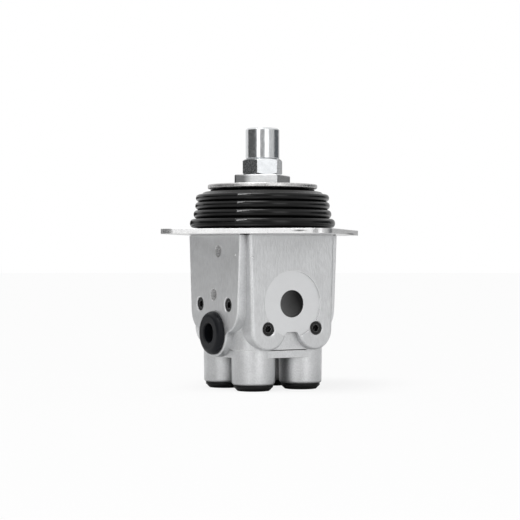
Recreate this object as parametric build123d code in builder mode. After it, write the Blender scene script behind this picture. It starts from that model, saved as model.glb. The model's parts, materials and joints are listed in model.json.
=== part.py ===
from build123d import *
import os
from math import asin, atan2, cos, hypot, radians, sin, sqrt, tan

# Hydraulic pilot joystick valve: a square cast body with four pressure reducing valves round a
# lever on a universal joint, under a bellows boot and a mounting plate.
# Millimetres. The origin is the centre of the mounting plate's underside, and +Z points up.
# The four plungers stand on the X and Y axes. The body's faces are turned 45 degrees from them.

os.makedirs("parts", exist_ok=True)

# ---- driving dimensions ------------------------------------------------------------------------

# four valves round the lever
PLUNGER_PITCH = 48.0          # diameter of the circle that the four bores stand on
SIDES = {"right": 0.0, "back": 90.0, "left": 180.0, "front": 270.0}

# clearances
FIT = 0.05                    # radial gap of a turned or sliding fit
SEAT_GAP = 0.1                # gap under a plunger tip and at a spring's moving end
SOFT_GAP = 0.3                # gap between the boot and what moves beside it
THREAD_GAP = 0.05             # radial gap that stands for a thread's own play

# mounting plate
PLATE_SIDE = 105.0
PLATE_CORNER = 10.0
PLATE_T = 3.1
HOLE_INSET = 10.0
HOLE_SPACING = PLATE_SIDE - 2 * HOLE_INSET
HOLE_D = 9.0

# cast body
FACE_REACH = 35.0             # from the axis to a machined side face
CORE_HALF = 30.5              # from the axis to the cast wall behind the faces
CORE_DEPTH = 74.8
LEDGE_DEPTH = 69.8            # where the core steps in and tapers to its floor
LEDGE_STEP = 0.7
CORE_TAPER = 30.0             # degrees, below the ledge
RELIEF = 0.7                  # shadow groove under the plate: how far it cuts in
RELIEF_H = 0.6
SHIELD_HALF = 31.0            # half width of a shield face at the plate
LOBED_HALF = 30.6             # half width of a lobed face at the plate
PAD_THICK = 18.0
SHIELD_EDGE_ROUND = 0.9
LOBED_EDGE_ROUND = 2.0
BOSS_D = 27.0
BOSS_BOTTOM = 91.2
BOSS_START = 62.0
BOSS_DRAFT = 0.8              # degrees
BOSS_ROUND = 1.6

# lobed side face, with the tank port
LOBE_X = 16.6
LOBE_DEPTH = 57.9
LOBE_R = 12.2
VALLEY_DEPTH = 59.2
VALLEY_ROUND = 2.6

# shield side face, with the pressure port
CORNER_X = 13.8
CORNER_DEPTH = 45.5
CORNER_R = 14.5
LOBE_BLEND = 4.0

# ports
SPOT_D = 40.0
SPOT_CUT = 1.0
TANK_PORT_DEPTH = 42.0
TANK_PORT_D = 16.6
TANK_PORT_LONG = 10.0
PRESSURE_PORT_DEPTH = 60.1
PRESSURE_PORT_D = 15.0
PRESSURE_PORT_LONG = 10.5
WORK_PORT_D = 11.9
PORT_DRILL_D = 7.0

# cross drillings and their set screws
GALLERY_DRILL_D = 5.0
SCREW_D = 8.2
SCREW_LONG = 7.0
SCREW_SUNK = 0.9
SCREW_CHAMFER = 0.5
SOCKET_AF = 4.0
SOCKET_DEPTH = 3.6
PRESSURE_GALLERY_DEPTH = 57.0
TANK_GALLERY_DEPTH = 42.7

# blind holes in the shield face, as across and depth
BLIND_HOLES = [(5.5, 10.3), (0.0, 36.7)]
BLIND_HOLE_D = 7.4
BLIND_HOLE_LONG = 9.0

# valve bore, from the top down
GUIDE_D = 17.0
GUIDE_LONG = 14.0
NECK_D = 13.4
NECK_RISE = 2.1               # how far the guide's neck stands above the plate
CHAMBER_D = 15.0
CHAMBER_DEPTH = 46.5
SPOOL_D = 8.0
SPOOL_FIT = 0.03
SPOOL_BORE_DEPTH = 78.0
RING_GROOVE_D = 10.8
RING_GROOVE_H = 6.0

# universal joint
PIVOT_Z = 12.0
STUD_D = 14.0
STUD_SPARE = 2.0              # depth left under the lower stud
LOWER_STUD_LONG = 15.0
YOKE_FLANGE_D = 20.0
YOKE_FLANGE_T = 2.2
BLOCK_SIDE = 11.0
BLOCK_H = 8.0
BLOCK_CHAMFER = 1.0
EAR_T = 2.8
EAR_R = 3.8
EAR_GAP = 0.3                 # side play of the block between two ears
PIN_D = 3.6
PIN_INNER = 2.2               # from the axis to a pin's inner end

# lever stack
SWASH_UNDER = 21.0            # height of the swash plate's working face
SWASH_D = 64.0
SWASH_T = 4.0
SWASH_CHAMFER = 1.0
SWASH_HUB_D = 26.0
DISC_BOTTOM = 28.4
DISC_D = 68.0
DISC_T = 2.7
DISC_ROUND = 0.8
SQUARE_AF = 28.0
SQUARE_T = 5.9
SQUARE_CORNER = 1.5
SQUARE_CHAMFER = 0.5
SQUARE_TURN = -4.5            # degrees
HEX_AF = 22.0
HEX_T = 10.0
HEX_TURNED = 0.3              # how far inside the flats the turned corners start
HEX_CORNER_SLOPE = 30.0       # degrees
HEX_TURN = 28.5               # degrees
TUBE_D = 21.0
TUBE_LONG = 19.1
TUBE_CHAMFER = 1.0
HANDLE_THREAD_D = 12.4        # across the crests of the handle's thread
HANDLE_THREAD_LONG = 10.0
UPPER_YOKE_FLANGE_D = 19.0

# boot
BOOT_WALL = 1.5
BOOT_FOOT_T = 1.5
BOOT_FOOT_INNER_R = 34.0
BOOT_FOOT_R = 40.0
BOOT_FOOT_SLOPE_TOP = 4.3               # height where the foot's slope meets the lowest fold
BOOT_FOLDS = [(45.1, 7.1), (42.8, 12.7), (41.8, 18.0), (41.4, 22.75)]   # bulge radius and height
BOOT_NECKS = [9.9, 15.35, 20.4]         # heights of the grooves between the folds
BOOT_TOP_NECK = 25.1                    # height where the top fold slopes in to the disc
FOLD_DEPTH = 2.0
BOOT_SHOULDER_R = 35.0
BOOT_LIP_R = 17.0

# plunger and its springs
PLUNGER_D = 9.0
TIP_R = 5.0
FOOT_D = 12.6
FOOT_H = 3.8
PLUNGER_HOLE_D = 7.2
PLUNGER_HOLE_LONG = 11.0
SPRING_SEAT_D = 13.8
SPRING_SEAT_T = 2.5
SEAT_SKIRT_D = 10.8
SEAT_SKIRT_H = 3.5
STEM_D = 4.4
HEAD_D = 6.4
HEAD_H = 2.0
SHIM_T = 0.8
SHIM_OVERLAP = 1.0            # how far the return shim's hole clears the spool's bore
COLLAR_D = 9.8
COLLAR_H = 2.0
COLLAR_TOP = 39.0             # depth of the spool collar's upper face
SPOOL_END = 74.5              # depth of the spool's lower end
SPOOL_CORE_D = 5.8
SPOOL_GROOVES = [(49.0, 54.2), (60.0, 68.5)]
SPOOL_DRILL_D = 3.0
RETURN_WIRE_D = 1.3
RETURN_COIL_D = 12.9          # to the middle of the wire
RETURN_TURNS = 6
METERING_WIRE_D = 0.9
METERING_COIL_D = 7.0
METERING_TURNS = 5

# seals
O_RING_D = 1.7                # section of the guide's ring
O_RING_DEPTH = 10.0
LIP_SEAL_DEPTH = 5.0
LIP_SEAL_H = 2.6
LIP_SEAL_D = 12.6
LIP_RELIEF = 0.7              # how far the seal's lower half stands off the plunger
O_RING_GAP = 0.03             # radial gap round a seal in its groove
O_RING_SIDES = 8              # flats that stand for the ring's round section

# port caps and plugs
CAP_D = 24.0
CAP_T = 3.6
CAP_CHAMFER = 2.25
CAP_DISH_D = 13.0
CAP_DISH = 1.2
CAP_FLOOR = 1.0               # how far the cap's floor stands up inside its spigot
CAP_SPIGOT_WALL = 1.4
CAP_SPIGOT_SHARE = 0.64       # of the work port's length
CAP_NOSE = 0.5
SIDE_PLUG_D = 26.4
SIDE_PLUG_T = 4.0
SIDE_PLUG_TOP_D = 19.0
SIDE_PLUG_RECESS_D = 11.8
SIDE_PLUG_RECESS = 6.5
SIDE_PLUG_LONG = 9.0
SIDE_PLUG_NOSE = 0.8
SIDE_PLUG_LIP = 0.6
SIDE_PLUG_SWELL = 0.7
RECESSED_PLUG_LONG = 7.0
RECESSED_PLUG_SUNK = 1.3
RECESSED_PLUG_DISH = 1.8
RECESSED_PLUG_RIM = 1.4

# ---- places worked out from the dimensions above --------------------------------------------------

PITCH_R = PLUNGER_PITCH / 2
GALLERY_ACROSS = PITCH_R * sqrt(0.5)          # the bores' distance from a face's centre line
LOBED_FACES = [-45.0, 135.0]
SHIELD_FACES = [-135.0, 45.0]
TANK_FACE = -45.0
PRESSURE_FACE = -135.0

DISC_TOP = DISC_BOTTOM + DISC_T
SQUARE_TOP = DISC_TOP + SQUARE_T
HEX_TOP = SQUARE_TOP + HEX_T
TUBE_TOP = HEX_TOP + TUBE_LONG
STUD_TOP = TUBE_TOP - HANDLE_THREAD_LONG
STUD_HOLE_R = STUD_D / 2 + THREAD_GAP

EAR_INNER = BLOCK_SIDE / 2 + EAR_GAP
EAR_OUTER = EAR_INNER + EAR_T
PIN_HOLE_R = PIN_D / 2 + FIT

PLUNGER_TIP = SWASH_UNDER - SEAT_GAP
FOOT_TOP = -GUIDE_LONG - SEAT_GAP
SEAT_TOP = FOOT_TOP - FOOT_H
SEAT_UNDER = SEAT_TOP - SPRING_SEAT_T
SKIRT_UNDER = SEAT_UNDER - SEAT_SKIRT_H
RETURN_FLOOR = -CHAMBER_DEPTH + SHIM_T
METERING_FLOOR = -COLLAR_TOP + SHIM_T
PRESSURE_LOBE_R = CORE_DEPTH - PRESSURE_PORT_DEPTH
WORK_PORT_START = SPOOL_BORE_DEPTH + (WORK_PORT_D - SPOOL_D) / 4
CAP_SPIGOT_LONG = (BOSS_BOTTOM - WORK_PORT_START) * CAP_SPIGOT_SHARE


def bore_point(angle):
    """Where a valve's axis stands on the pitch circle."""
    return PITCH_R * cos(radians(angle)), PITCH_R * sin(radians(angle))


def bore_section(angle):
    """Upright plane through a valve's axis: local x is the radius, local y the height."""
    x, y = bore_point(angle)
    return Plane(origin=(x, y, 0), x_dir=(1, 0, 0), z_dir=(0, -1, 0))


def bore_axis(angle):
    """The axis of one valve, pointing up."""
    x, y = bore_point(angle)
    return Axis((x, y, 0), (0, 0, 1))


def face_plane(angle, reach=FACE_REACH):
    """Plane on a side face: local z points out, local x runs to the right, local y runs up."""
    out = Vector(cos(radians(angle)), sin(radians(angle)), 0)
    across = Vector(-sin(radians(angle)), cos(radians(angle)), 0)
    return Plane(origin=out * reach, x_dir=across, z_dir=out)


def port_section(angle, depth):
    """Plane through a side port's axis: local x is the port's radius, local y points out."""
    out = Vector(cos(radians(angle)), sin(radians(angle)), 0)
    across = Vector(-sin(radians(angle)), cos(radians(angle)), 0)
    return Plane(origin=(0, 0, -depth), x_dir=across, z_dir=across.cross(out))


def port_axis(angle, depth):
    """The axis of a side port, pointing out of its mouth."""
    return Axis((0, 0, -depth), (cos(radians(angle)), sin(radians(angle)), 0))


def tangent_point(point, centre, radius):
    """Where a line from the point grazes the right side of a circle below it."""
    dx = centre[0] - point[0]
    dy = centre[1] - point[1]
    distance = hypot(dx, dy)
    length = sqrt(distance ** 2 - radius ** 2)
    heading = atan2(dy, dx) + asin(radius / distance)
    return point[0] + length * cos(heading), point[1] + length * sin(heading)


# ---- cast body -----------------------------------------------------------------------------------

with BuildPart() as valve_body:
    # cast core, its corners concentric with the bosses, which steps in and tapers to its floor
    with BuildSketch(Plane.XY):
        RectangleRounded(2 * CORE_HALF, 2 * CORE_HALF, BOSS_D / 2, rotation=45)
    extrude(amount=-LEDGE_DEPTH)
    ledge_side = 2 * (CORE_HALF - LEDGE_STEP)
    with BuildSketch(Plane.XY.offset(-LEDGE_DEPTH)):
        RectangleRounded(ledge_side, ledge_side, BOSS_D / 2, rotation=45)
    extrude(amount=-(CORE_DEPTH - LEDGE_DEPTH), taper=CORE_TAPER)

    # lobed faces: two drafted sides that run into a lobe round each gallery screw
    lobe_side = tangent_point((LOBED_HALF, 0), (LOBE_X, -LOBE_DEPTH), LOBE_R)
    for angle in LOBED_FACES:
        with BuildSketch(face_plane(angle)) as lobed:
            with BuildLine():
                Polyline(
                    (-LOBED_HALF, 0), (LOBED_HALF, 0), lobe_side, (LOBE_X, -VALLEY_DEPTH),
                    (-LOBE_X, -VALLEY_DEPTH), (-lobe_side[0], lobe_side[1]), close=True,
                )
            make_face()
            with Locations((LOBE_X, -LOBE_DEPTH), (-LOBE_X, -LOBE_DEPTH)):
                Circle(LOBE_R)
            valley = lobed.vertices().filter_by_position(Axis.Y, -VALLEY_DEPTH - 0.01, -VALLEY_DEPTH + 0.01)
            fillet(valley.filter_by_position(Axis.X, -LOBE_X / 2, LOBE_X / 2), VALLEY_ROUND)
        extrude(amount=-PAD_THICK)

    # shield faces: rounded lower corners, and a lobe round the port between them
    shield_side = tangent_point((SHIELD_HALF, 0), (CORNER_X, -CORNER_DEPTH), CORNER_R)
    shield_floor = CORNER_DEPTH + CORNER_R
    for angle in SHIELD_FACES:
        with BuildSketch(face_plane(angle)) as shield:
            with BuildLine():
                Polyline(
                    (-SHIELD_HALF, 0), (SHIELD_HALF, 0), shield_side, (CORNER_X, -shield_floor),
                    (-CORNER_X, -shield_floor), (-shield_side[0], shield_side[1]), close=True,
                )
            make_face()
            with Locations((CORNER_X, -CORNER_DEPTH), (-CORNER_X, -CORNER_DEPTH)):
                Circle(CORNER_R)
            with Locations((0, -PRESSURE_PORT_DEPTH)):
                Circle(PRESSURE_LOBE_R)
            low = shield.vertices().group_by(Axis.Y)[0]
            fillet(low, LOBE_BLEND)
        extrude(amount=-PAD_THICK)

    # soften the outline of each machined face
    for angle in LOBED_FACES + SHIELD_FACES:
        outward = face_plane(angle).z_dir
        faces = valve_body.faces().filter_by(lambda f: f.normal_at().dot(outward) > 0.999)
        pad = faces.sort_by(lambda f: f.center().dot(outward))[-1]
        rim = pad.edges().filter_by(lambda e: e.center().Z < -FIT)
        fillet(rim, LOBED_EDGE_ROUND if angle in LOBED_FACES else SHIELD_EDGE_ROUND)

    # shadow groove round the top, where the casting meets the plate
    with BuildSketch(Plane.XY):
        Rectangle(4 * CORE_HALF, 4 * CORE_HALF)
        for half_x, half_y in ((SHIELD_HALF, FACE_REACH), (FACE_REACH, LOBED_HALF)):
            long_x = 2 * (half_x - RELIEF)
            long_y = 2 * (half_y - RELIEF)
            Rectangle(long_x, long_y, rotation=-SHIELD_FACES[1], mode=Mode.SUBTRACT)
    extrude(amount=-RELIEF_H, mode=Mode.SUBTRACT)

    # four bosses for the work ports
    with BuildSketch(Plane.XY.offset(-BOSS_START)):
        with PolarLocations(PITCH_R, 4):
            Circle(BOSS_D / 2)
    extrude(amount=-(BOSS_BOTTOM - BOSS_START), taper=BOSS_DRAFT)
    foot_edges = valve_body.edges().group_by(Axis.Z)[0]
    fillet(foot_edges, BOSS_ROUND)

    # stepped valve bores, from the guide's seat down to the work port
    with BuildSketch(bore_section(SIDES["right"])) as bore:
        with BuildLine():
            Polyline(
                (0, 0),
                (GUIDE_D / 2 + FIT, 0),
                (GUIDE_D / 2 + FIT, -GUIDE_LONG),
                (CHAMBER_D / 2, -GUIDE_LONG),
                (CHAMBER_D / 2, -CHAMBER_DEPTH),
                (SPOOL_D / 2, -CHAMBER_DEPTH),
                (SPOOL_D / 2, -PRESSURE_GALLERY_DEPTH + RING_GROOVE_H / 2),
                (RING_GROOVE_D / 2, -PRESSURE_GALLERY_DEPTH + RING_GROOVE_H / 2),
                (RING_GROOVE_D / 2, -PRESSURE_GALLERY_DEPTH - RING_GROOVE_H / 2),
                (SPOOL_D / 2, -PRESSURE_GALLERY_DEPTH - RING_GROOVE_H / 2),
                (SPOOL_D / 2, -SPOOL_BORE_DEPTH),
                (WORK_PORT_D / 2, -WORK_PORT_START),
                (WORK_PORT_D / 2, -BOSS_BOTTOM),
                (0, -BOSS_BOTTOM),
                close=True,
            )
        make_face()
    bore_cut = revolve(bore.sketch, axis=bore_axis(SIDES["right"]), mode=Mode.PRIVATE)
    for angle in SIDES.values():
        add(bore_cut.rotate(Axis.Z, angle), mode=Mode.SUBTRACT)

    # threaded hole for the universal joint
    with BuildSketch(Plane.XY):
        Circle(STUD_HOLE_R)
    extrude(amount=-(LOWER_STUD_LONG - PLATE_T + STUD_SPARE), mode=Mode.SUBTRACT)

    # tank port: spot face, threaded mouth and the drilling to the tank gallery
    with BuildSketch(face_plane(TANK_FACE)):
        with Locations((0, -TANK_PORT_DEPTH)):
            Circle(SPOT_D / 2)
    extrude(amount=-SPOT_CUT, mode=Mode.SUBTRACT)
    with BuildSketch(face_plane(TANK_FACE)):
        with Locations((0, -TANK_PORT_DEPTH)):
            Circle(TANK_PORT_D / 2)
    extrude(amount=-(SPOT_CUT + TANK_PORT_LONG), mode=Mode.SUBTRACT)
    with BuildSketch(face_plane(TANK_FACE)):
        with Locations((0, -TANK_PORT_DEPTH)):
            Circle(PORT_DRILL_D / 2)
    extrude(amount=-(FACE_REACH - GALLERY_ACROSS), mode=Mode.SUBTRACT)

    # pressure port and the drilling to the pressure gallery
    with BuildSketch(face_plane(PRESSURE_FACE)):
        with Locations((0, -PRESSURE_PORT_DEPTH)):
            Circle(PRESSURE_PORT_D / 2)
    extrude(amount=-PRESSURE_PORT_LONG, mode=Mode.SUBTRACT)
    with BuildSketch(face_plane(PRESSURE_FACE)):
        with Locations((0, -PRESSURE_PORT_DEPTH)):
            Circle(PORT_DRILL_D / 2)
    extrude(amount=-(FACE_REACH - GALLERY_ACROSS), mode=Mode.SUBTRACT)

    # two pairs of galleries, each drilled from one face through two bores
    for angle, depth in ((TANK_FACE, PRESSURE_GALLERY_DEPTH), (PRESSURE_FACE, TANK_GALLERY_DEPTH)):
        spots = [(GALLERY_ACROSS, -depth), (-GALLERY_ACROSS, -depth)]
        with BuildSketch(face_plane(angle)):
            with Locations(*spots):
                Circle(SCREW_D / 2 + THREAD_GAP)
        extrude(amount=-(SCREW_SUNK + SCREW_LONG), mode=Mode.SUBTRACT)
        with BuildSketch(face_plane(angle)):
            with Locations(*spots):
                Circle(GALLERY_DRILL_D / 2)
        extrude(amount=-(FACE_REACH + GALLERY_ACROSS), mode=Mode.SUBTRACT)
        with BuildSketch(face_plane(angle)):
            with Locations(*spots):
                Circle(SCREW_D / 2 + THREAD_GAP + SCREW_CHAMFER)
        extrude(amount=-SCREW_CHAMFER, taper=45, mode=Mode.SUBTRACT)

    # blind holes beside the shield face's centre line
    with BuildSketch(face_plane(PRESSURE_FACE)):
        with Locations(*[(across, -depth) for across, depth in BLIND_HOLES]):
            Circle(BLIND_HOLE_D / 2)
    extrude(amount=-BLIND_HOLE_LONG, mode=Mode.SUBTRACT)

valve_body.part.label = "valve_body"
export_step(valve_body.part, "parts/valve_body.step")

# ---- mounting plate --------------------------------------------------------------------------------

with BuildPart() as mounting_plate:
    with BuildSketch(Plane.XY):
        RectangleRounded(PLATE_SIDE, PLATE_SIDE, PLATE_CORNER)
        with GridLocations(HOLE_SPACING, HOLE_SPACING, 2, 2):
            Circle(HOLE_D / 2, mode=Mode.SUBTRACT)
        with PolarLocations(PITCH_R, len(SIDES)):
            Circle(NECK_D / 2 + SOFT_GAP, mode=Mode.SUBTRACT)
        Circle(STUD_HOLE_R, mode=Mode.SUBTRACT)
    extrude(amount=PLATE_T)

mounting_plate.part.label = "mounting_plate"
export_step(mounting_plate.part, "parts/mounting_plate.step")

# ---- universal joint -------------------------------------------------------------------------------

# lower yoke: a threaded foot through the plate, a flange, and two ears that hold the lower pins
with BuildPart() as lower_yoke:
    with BuildSketch(Plane.XY.offset(PLATE_T - LOWER_STUD_LONG)):
        Circle(STUD_D / 2)
    extrude(amount=LOWER_STUD_LONG)
    with BuildSketch(Plane.XY.offset(PLATE_T)):
        Circle(YOKE_FLANGE_D / 2)
    extrude(amount=YOKE_FLANGE_T)
    with BuildSketch(Plane.XZ.offset(-EAR_OUTER)):
        with Locations((0, PIVOT_Z)):
            Circle(EAR_R)
        with Locations((0, (PIVOT_Z + PLATE_T) / 2)):
            Rectangle(2 * EAR_R, PIVOT_Z - PLATE_T)
    extrude(amount=2 * EAR_OUTER)
    with BuildSketch(Plane.XY.offset(PLATE_T + YOKE_FLANGE_T)):
        Rectangle(YOKE_FLANGE_D, 2 * EAR_INNER)
    extrude(amount=PIVOT_Z + EAR_R, mode=Mode.SUBTRACT)
    with BuildSketch(Plane.XZ.offset(-EAR_OUTER)):
        with Locations((0, PIVOT_Z)):
            Circle(PIN_HOLE_R)
    extrude(amount=2 * EAR_OUTER, mode=Mode.SUBTRACT)

lower_yoke.part.label = "lower_yoke"
export_step(lower_yoke.part, "parts/lower_yoke.step")

# upper yoke: two ears on the upper pins, a flange under the swash plate, and the lever's long stud
with BuildPart() as upper_yoke:
    with BuildSketch(Plane.YZ.offset(-EAR_OUTER)):
        with Locations((0, PIVOT_Z)):
            Circle(EAR_R)
        with Locations((0, (PIVOT_Z + SWASH_UNDER) / 2)):
            Rectangle(2 * EAR_R, SWASH_UNDER - PIVOT_Z)
    extrude(amount=2 * EAR_OUTER)
    flange_under = PIVOT_Z + EAR_R * cos(radians(19)) + EAR_OUTER * sin(radians(19)) + EAR_GAP
    with BuildSketch(Plane.XY.offset(PIVOT_Z - EAR_R)):
        Rectangle(2 * EAR_INNER, YOKE_FLANGE_D)
    extrude(amount=flange_under - PIVOT_Z + EAR_R, mode=Mode.SUBTRACT)
    with BuildSketch(Plane.XY.offset(flange_under)):
        Circle(UPPER_YOKE_FLANGE_D / 2)
    extrude(amount=SWASH_UNDER - flange_under)
    with BuildSketch(Plane.XY.offset(SWASH_UNDER)):
        Circle(STUD_D / 2)
    extrude(amount=STUD_TOP - SWASH_UNDER)
    with BuildSketch(Plane.YZ.offset(-EAR_OUTER)):
        with Locations((0, PIVOT_Z)):
            Circle(PIN_HOLE_R)
    extrude(amount=2 * EAR_OUTER, mode=Mode.SUBTRACT)

upper_yoke.part.label = "upper_yoke"
export_step(upper_yoke.part, "parts/upper_yoke.step")

# joint block between the two yokes, drilled both ways
with BuildPart() as joint_block:
    with BuildSketch(Plane.XY.offset(PIVOT_Z - BLOCK_H / 2)):
        Rectangle(BLOCK_SIDE, BLOCK_SIDE)
    extrude(amount=BLOCK_H)
    chamfer(joint_block.edges().filter_by(Axis.Z), BLOCK_CHAMFER)
    for plane in (Plane.XZ, Plane.YZ):
        with BuildSketch(plane.offset(-BLOCK_SIDE / 2)):
            with Locations((0, PIVOT_Z)):
                Circle(PIN_HOLE_R)
        extrude(amount=BLOCK_SIDE, mode=Mode.SUBTRACT)

joint_block.part.label = "joint_block"
export_step(joint_block.part, "parts/joint_block.step")

# two short pins along Y join the block to the lower yoke
with BuildPart() as lower_pins:
    for plane in (Plane.XZ.offset(PIN_INNER), Plane.XZ.offset(-EAR_OUTER)):
        with BuildSketch(plane):
            with Locations((0, PIVOT_Z)):
                Circle(PIN_D / 2)
        extrude(amount=EAR_OUTER - PIN_INNER)

lower_pins.part.label = "lower_pins"
export_step(lower_pins.part, "parts/lower_pins.step")

# two short pins along X join the block to the upper yoke
with BuildPart() as upper_pins:
    for plane in (Plane.YZ.offset(PIN_INNER), Plane.YZ.offset(-EAR_OUTER)):
        with BuildSketch(plane):
            with Locations((0, PIVOT_Z)):
                Circle(PIN_D / 2)
        extrude(amount=EAR_OUTER - PIN_INNER)

upper_pins.part.label = "upper_pins"
export_step(upper_pins.part, "parts/upper_pins.step")

# ---- lever stack -------------------------------------------------------------------------------------

# swash plate, which presses the plungers, with the hub that spaces it from the disc
with BuildPart() as swash_plate:
    with BuildSketch(Plane.XY.offset(SWASH_UNDER)):
        Circle(SWASH_D / 2)
    extrude(amount=SWASH_T)
    chamfer(swash_plate.edges().filter_by(GeomType.CIRCLE), SWASH_CHAMFER)
    with BuildSketch(Plane.XY.offset(SWASH_UNDER + SWASH_T)):
        Circle(SWASH_HUB_D / 2)
    extrude(amount=DISC_BOTTOM - SWASH_UNDER - SWASH_T)
    with BuildSketch(Plane.XY.offset(SWASH_UNDER)):
        Circle(STUD_HOLE_R)
    extrude(amount=DISC_BOTTOM - SWASH_UNDER, mode=Mode.SUBTRACT)

swash_plate.part.label = "swash_plate"
export_step(swash_plate.part, "parts/swash_plate.step")

# disc that closes the boot's top
with BuildPart() as boot_clamp_disc:
    with BuildSketch(Plane.XY.offset(DISC_BOTTOM)):
        Circle(DISC_D / 2)
        Circle(STUD_HOLE_R, mode=Mode.SUBTRACT)
    extrude(amount=DISC_T)
    rim = boot_clamp_disc.edges().filter_by(GeomType.CIRCLE).sort_by(SortBy.RADIUS)[-2:]
    fillet(rim, DISC_ROUND)

boot_clamp_disc.part.label = "boot_clamp_disc"
export_step(boot_clamp_disc.part, "parts/boot_clamp_disc.step")

# thin square nut that sets the lever's play
with BuildPart() as adjusting_nut:
    with BuildSketch(Plane.XY.offset(DISC_TOP)):
        RectangleRounded(SQUARE_AF, SQUARE_AF, SQUARE_CORNER, rotation=SQUARE_TURN)
        Circle(STUD_HOLE_R, mode=Mode.SUBTRACT)
    extrude(amount=SQUARE_T)
    outer = adjusting_nut.edges().filter_by(GeomType.LINE).filter_by(Plane.XY)
    chamfer(outer, SQUARE_CHAMFER)

adjusting_nut.part.label = "adjusting_nut"
export_step(adjusting_nut.part, "parts/adjusting_nut.step")

# hexagon lock nut, its corners turned off at both ends
with BuildPart() as lock_nut:
    with BuildSketch(Plane.XY.offset(SQUARE_TOP)):
        RegularPolygon(HEX_AF / 2, 6, major_radius=False, rotation=HEX_TURN)
    extrude(amount=HEX_T)
    corner_r = HEX_AF / 2 / cos(radians(30))
    corner_drop = (corner_r - HEX_AF / 2 + HEX_TURNED) * tan(radians(HEX_CORNER_SLOPE))
    with BuildSketch(Plane.XZ):
        with BuildLine():
            Polyline(
                (STUD_HOLE_R, SQUARE_TOP),
                (HEX_AF / 2 - HEX_TURNED, SQUARE_TOP),
                (corner_r, SQUARE_TOP + corner_drop),
                (corner_r, HEX_TOP - corner_drop),
                (HEX_AF / 2 - HEX_TURNED, HEX_TOP),
                (STUD_HOLE_R, HEX_TOP),
                close=True,
            )
        make_face()
    revolve(axis=Axis.Z, mode=Mode.INTERSECT)

lock_nut.part.label = "lock_nut"
export_step(lock_nut.part, "parts/lock_nut.step")

# handle connector: a round sleeve on the stud, with the handle's thread in its top
with BuildPart() as handle_connector:
    with BuildSketch(Plane.XZ):
        with BuildLine():
            Polyline(
                (STUD_HOLE_R, HEX_TOP),
                (TUBE_D / 2 - TUBE_CHAMFER / 2, HEX_TOP),
                (TUBE_D / 2, HEX_TOP + TUBE_CHAMFER / 2),
                (TUBE_D / 2, TUBE_TOP - TUBE_CHAMFER),
                (TUBE_D / 2 - TUBE_CHAMFER, TUBE_TOP),
                (HANDLE_THREAD_D / 2 + TUBE_CHAMFER, TUBE_TOP),
                (HANDLE_THREAD_D / 2, TUBE_TOP - TUBE_CHAMFER),
                (HANDLE_THREAD_D / 2, STUD_TOP + THREAD_GAP),
                (STUD_HOLE_R, STUD_TOP + THREAD_GAP),
                close=True,
            )
        make_face()
    revolve(axis=Axis.Z)

handle_connector.part.label = "handle_connector"
export_step(handle_connector.part, "parts/handle_connector.step")

# ---- boot -----------------------------------------------------------------------------------------------

# bellows boot: a foot on the plate, four round folds, and a lip under the disc
with BuildPart() as boot:
    lip_top = DISC_BOTTOM - SOFT_GAP
    lip_under = lip_top - BOOT_WALL
    neck_heights = BOOT_NECKS + [BOOT_TOP_NECK]
    lowest_bulge, lowest_height = BOOT_FOLDS[0]
    inner = [
        (BOOT_FOOT_R, PLATE_T),
        (BOOT_FOOT_INNER_R, PLATE_T),
        (BOOT_FOOT_INNER_R, PLATE_T + BOOT_FOOT_T),
        (BOOT_FOOT_R - BOOT_WALL, PLATE_T + BOOT_FOOT_T),
        (lowest_bulge - BOOT_WALL, lowest_height),
    ]
    with BuildSketch(Plane.XZ):
        with BuildLine():
            # the lowest fold rolls out over the foot, and a flat step joins it to the next
            fold_start = (lowest_bulge - FOLD_DEPTH, BOOT_FOOT_SLOPE_TOP)
            fold_end = (lowest_bulge - FOLD_DEPTH, BOOT_NECKS[0])
            low = (BOOT_FOLDS[1][0] - FOLD_DEPTH, BOOT_NECKS[0])
            Line((BOOT_FOOT_R, PLATE_T), fold_start)
            ThreePointArc(fold_start, (lowest_bulge, lowest_height), fold_end)
            Line(fold_end, low)
            for index in range(1, len(BOOT_FOLDS)):
                bulge, height = BOOT_FOLDS[index]
                next_bulge = BOOT_FOLDS[min(index + 1, len(BOOT_FOLDS) - 1)][0]
                high = (min(bulge, next_bulge) - FOLD_DEPTH, neck_heights[index])
                ThreePointArc(low, (bulge, height), high)
                inner.append((low[0] - BOOT_WALL, low[1]))
                inner.append((bulge - BOOT_WALL, height))
                low = high
            inner.append((BOOT_SHOULDER_R - BOOT_WALL, lip_under))
            inner.append((BOOT_LIP_R, lip_under))
            inner.append((BOOT_LIP_R, lip_top))
            Polyline(low, (BOOT_SHOULDER_R, lip_top), (BOOT_LIP_R, lip_top))
            Polyline(*inner)
        make_face()
    revolve(axis=Axis.Z)

boot.part.label = "boot"
export_step(boot.part, "parts/boot.step")


# ---- the four valves -------------------------------------------------------------------------------------

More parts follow.
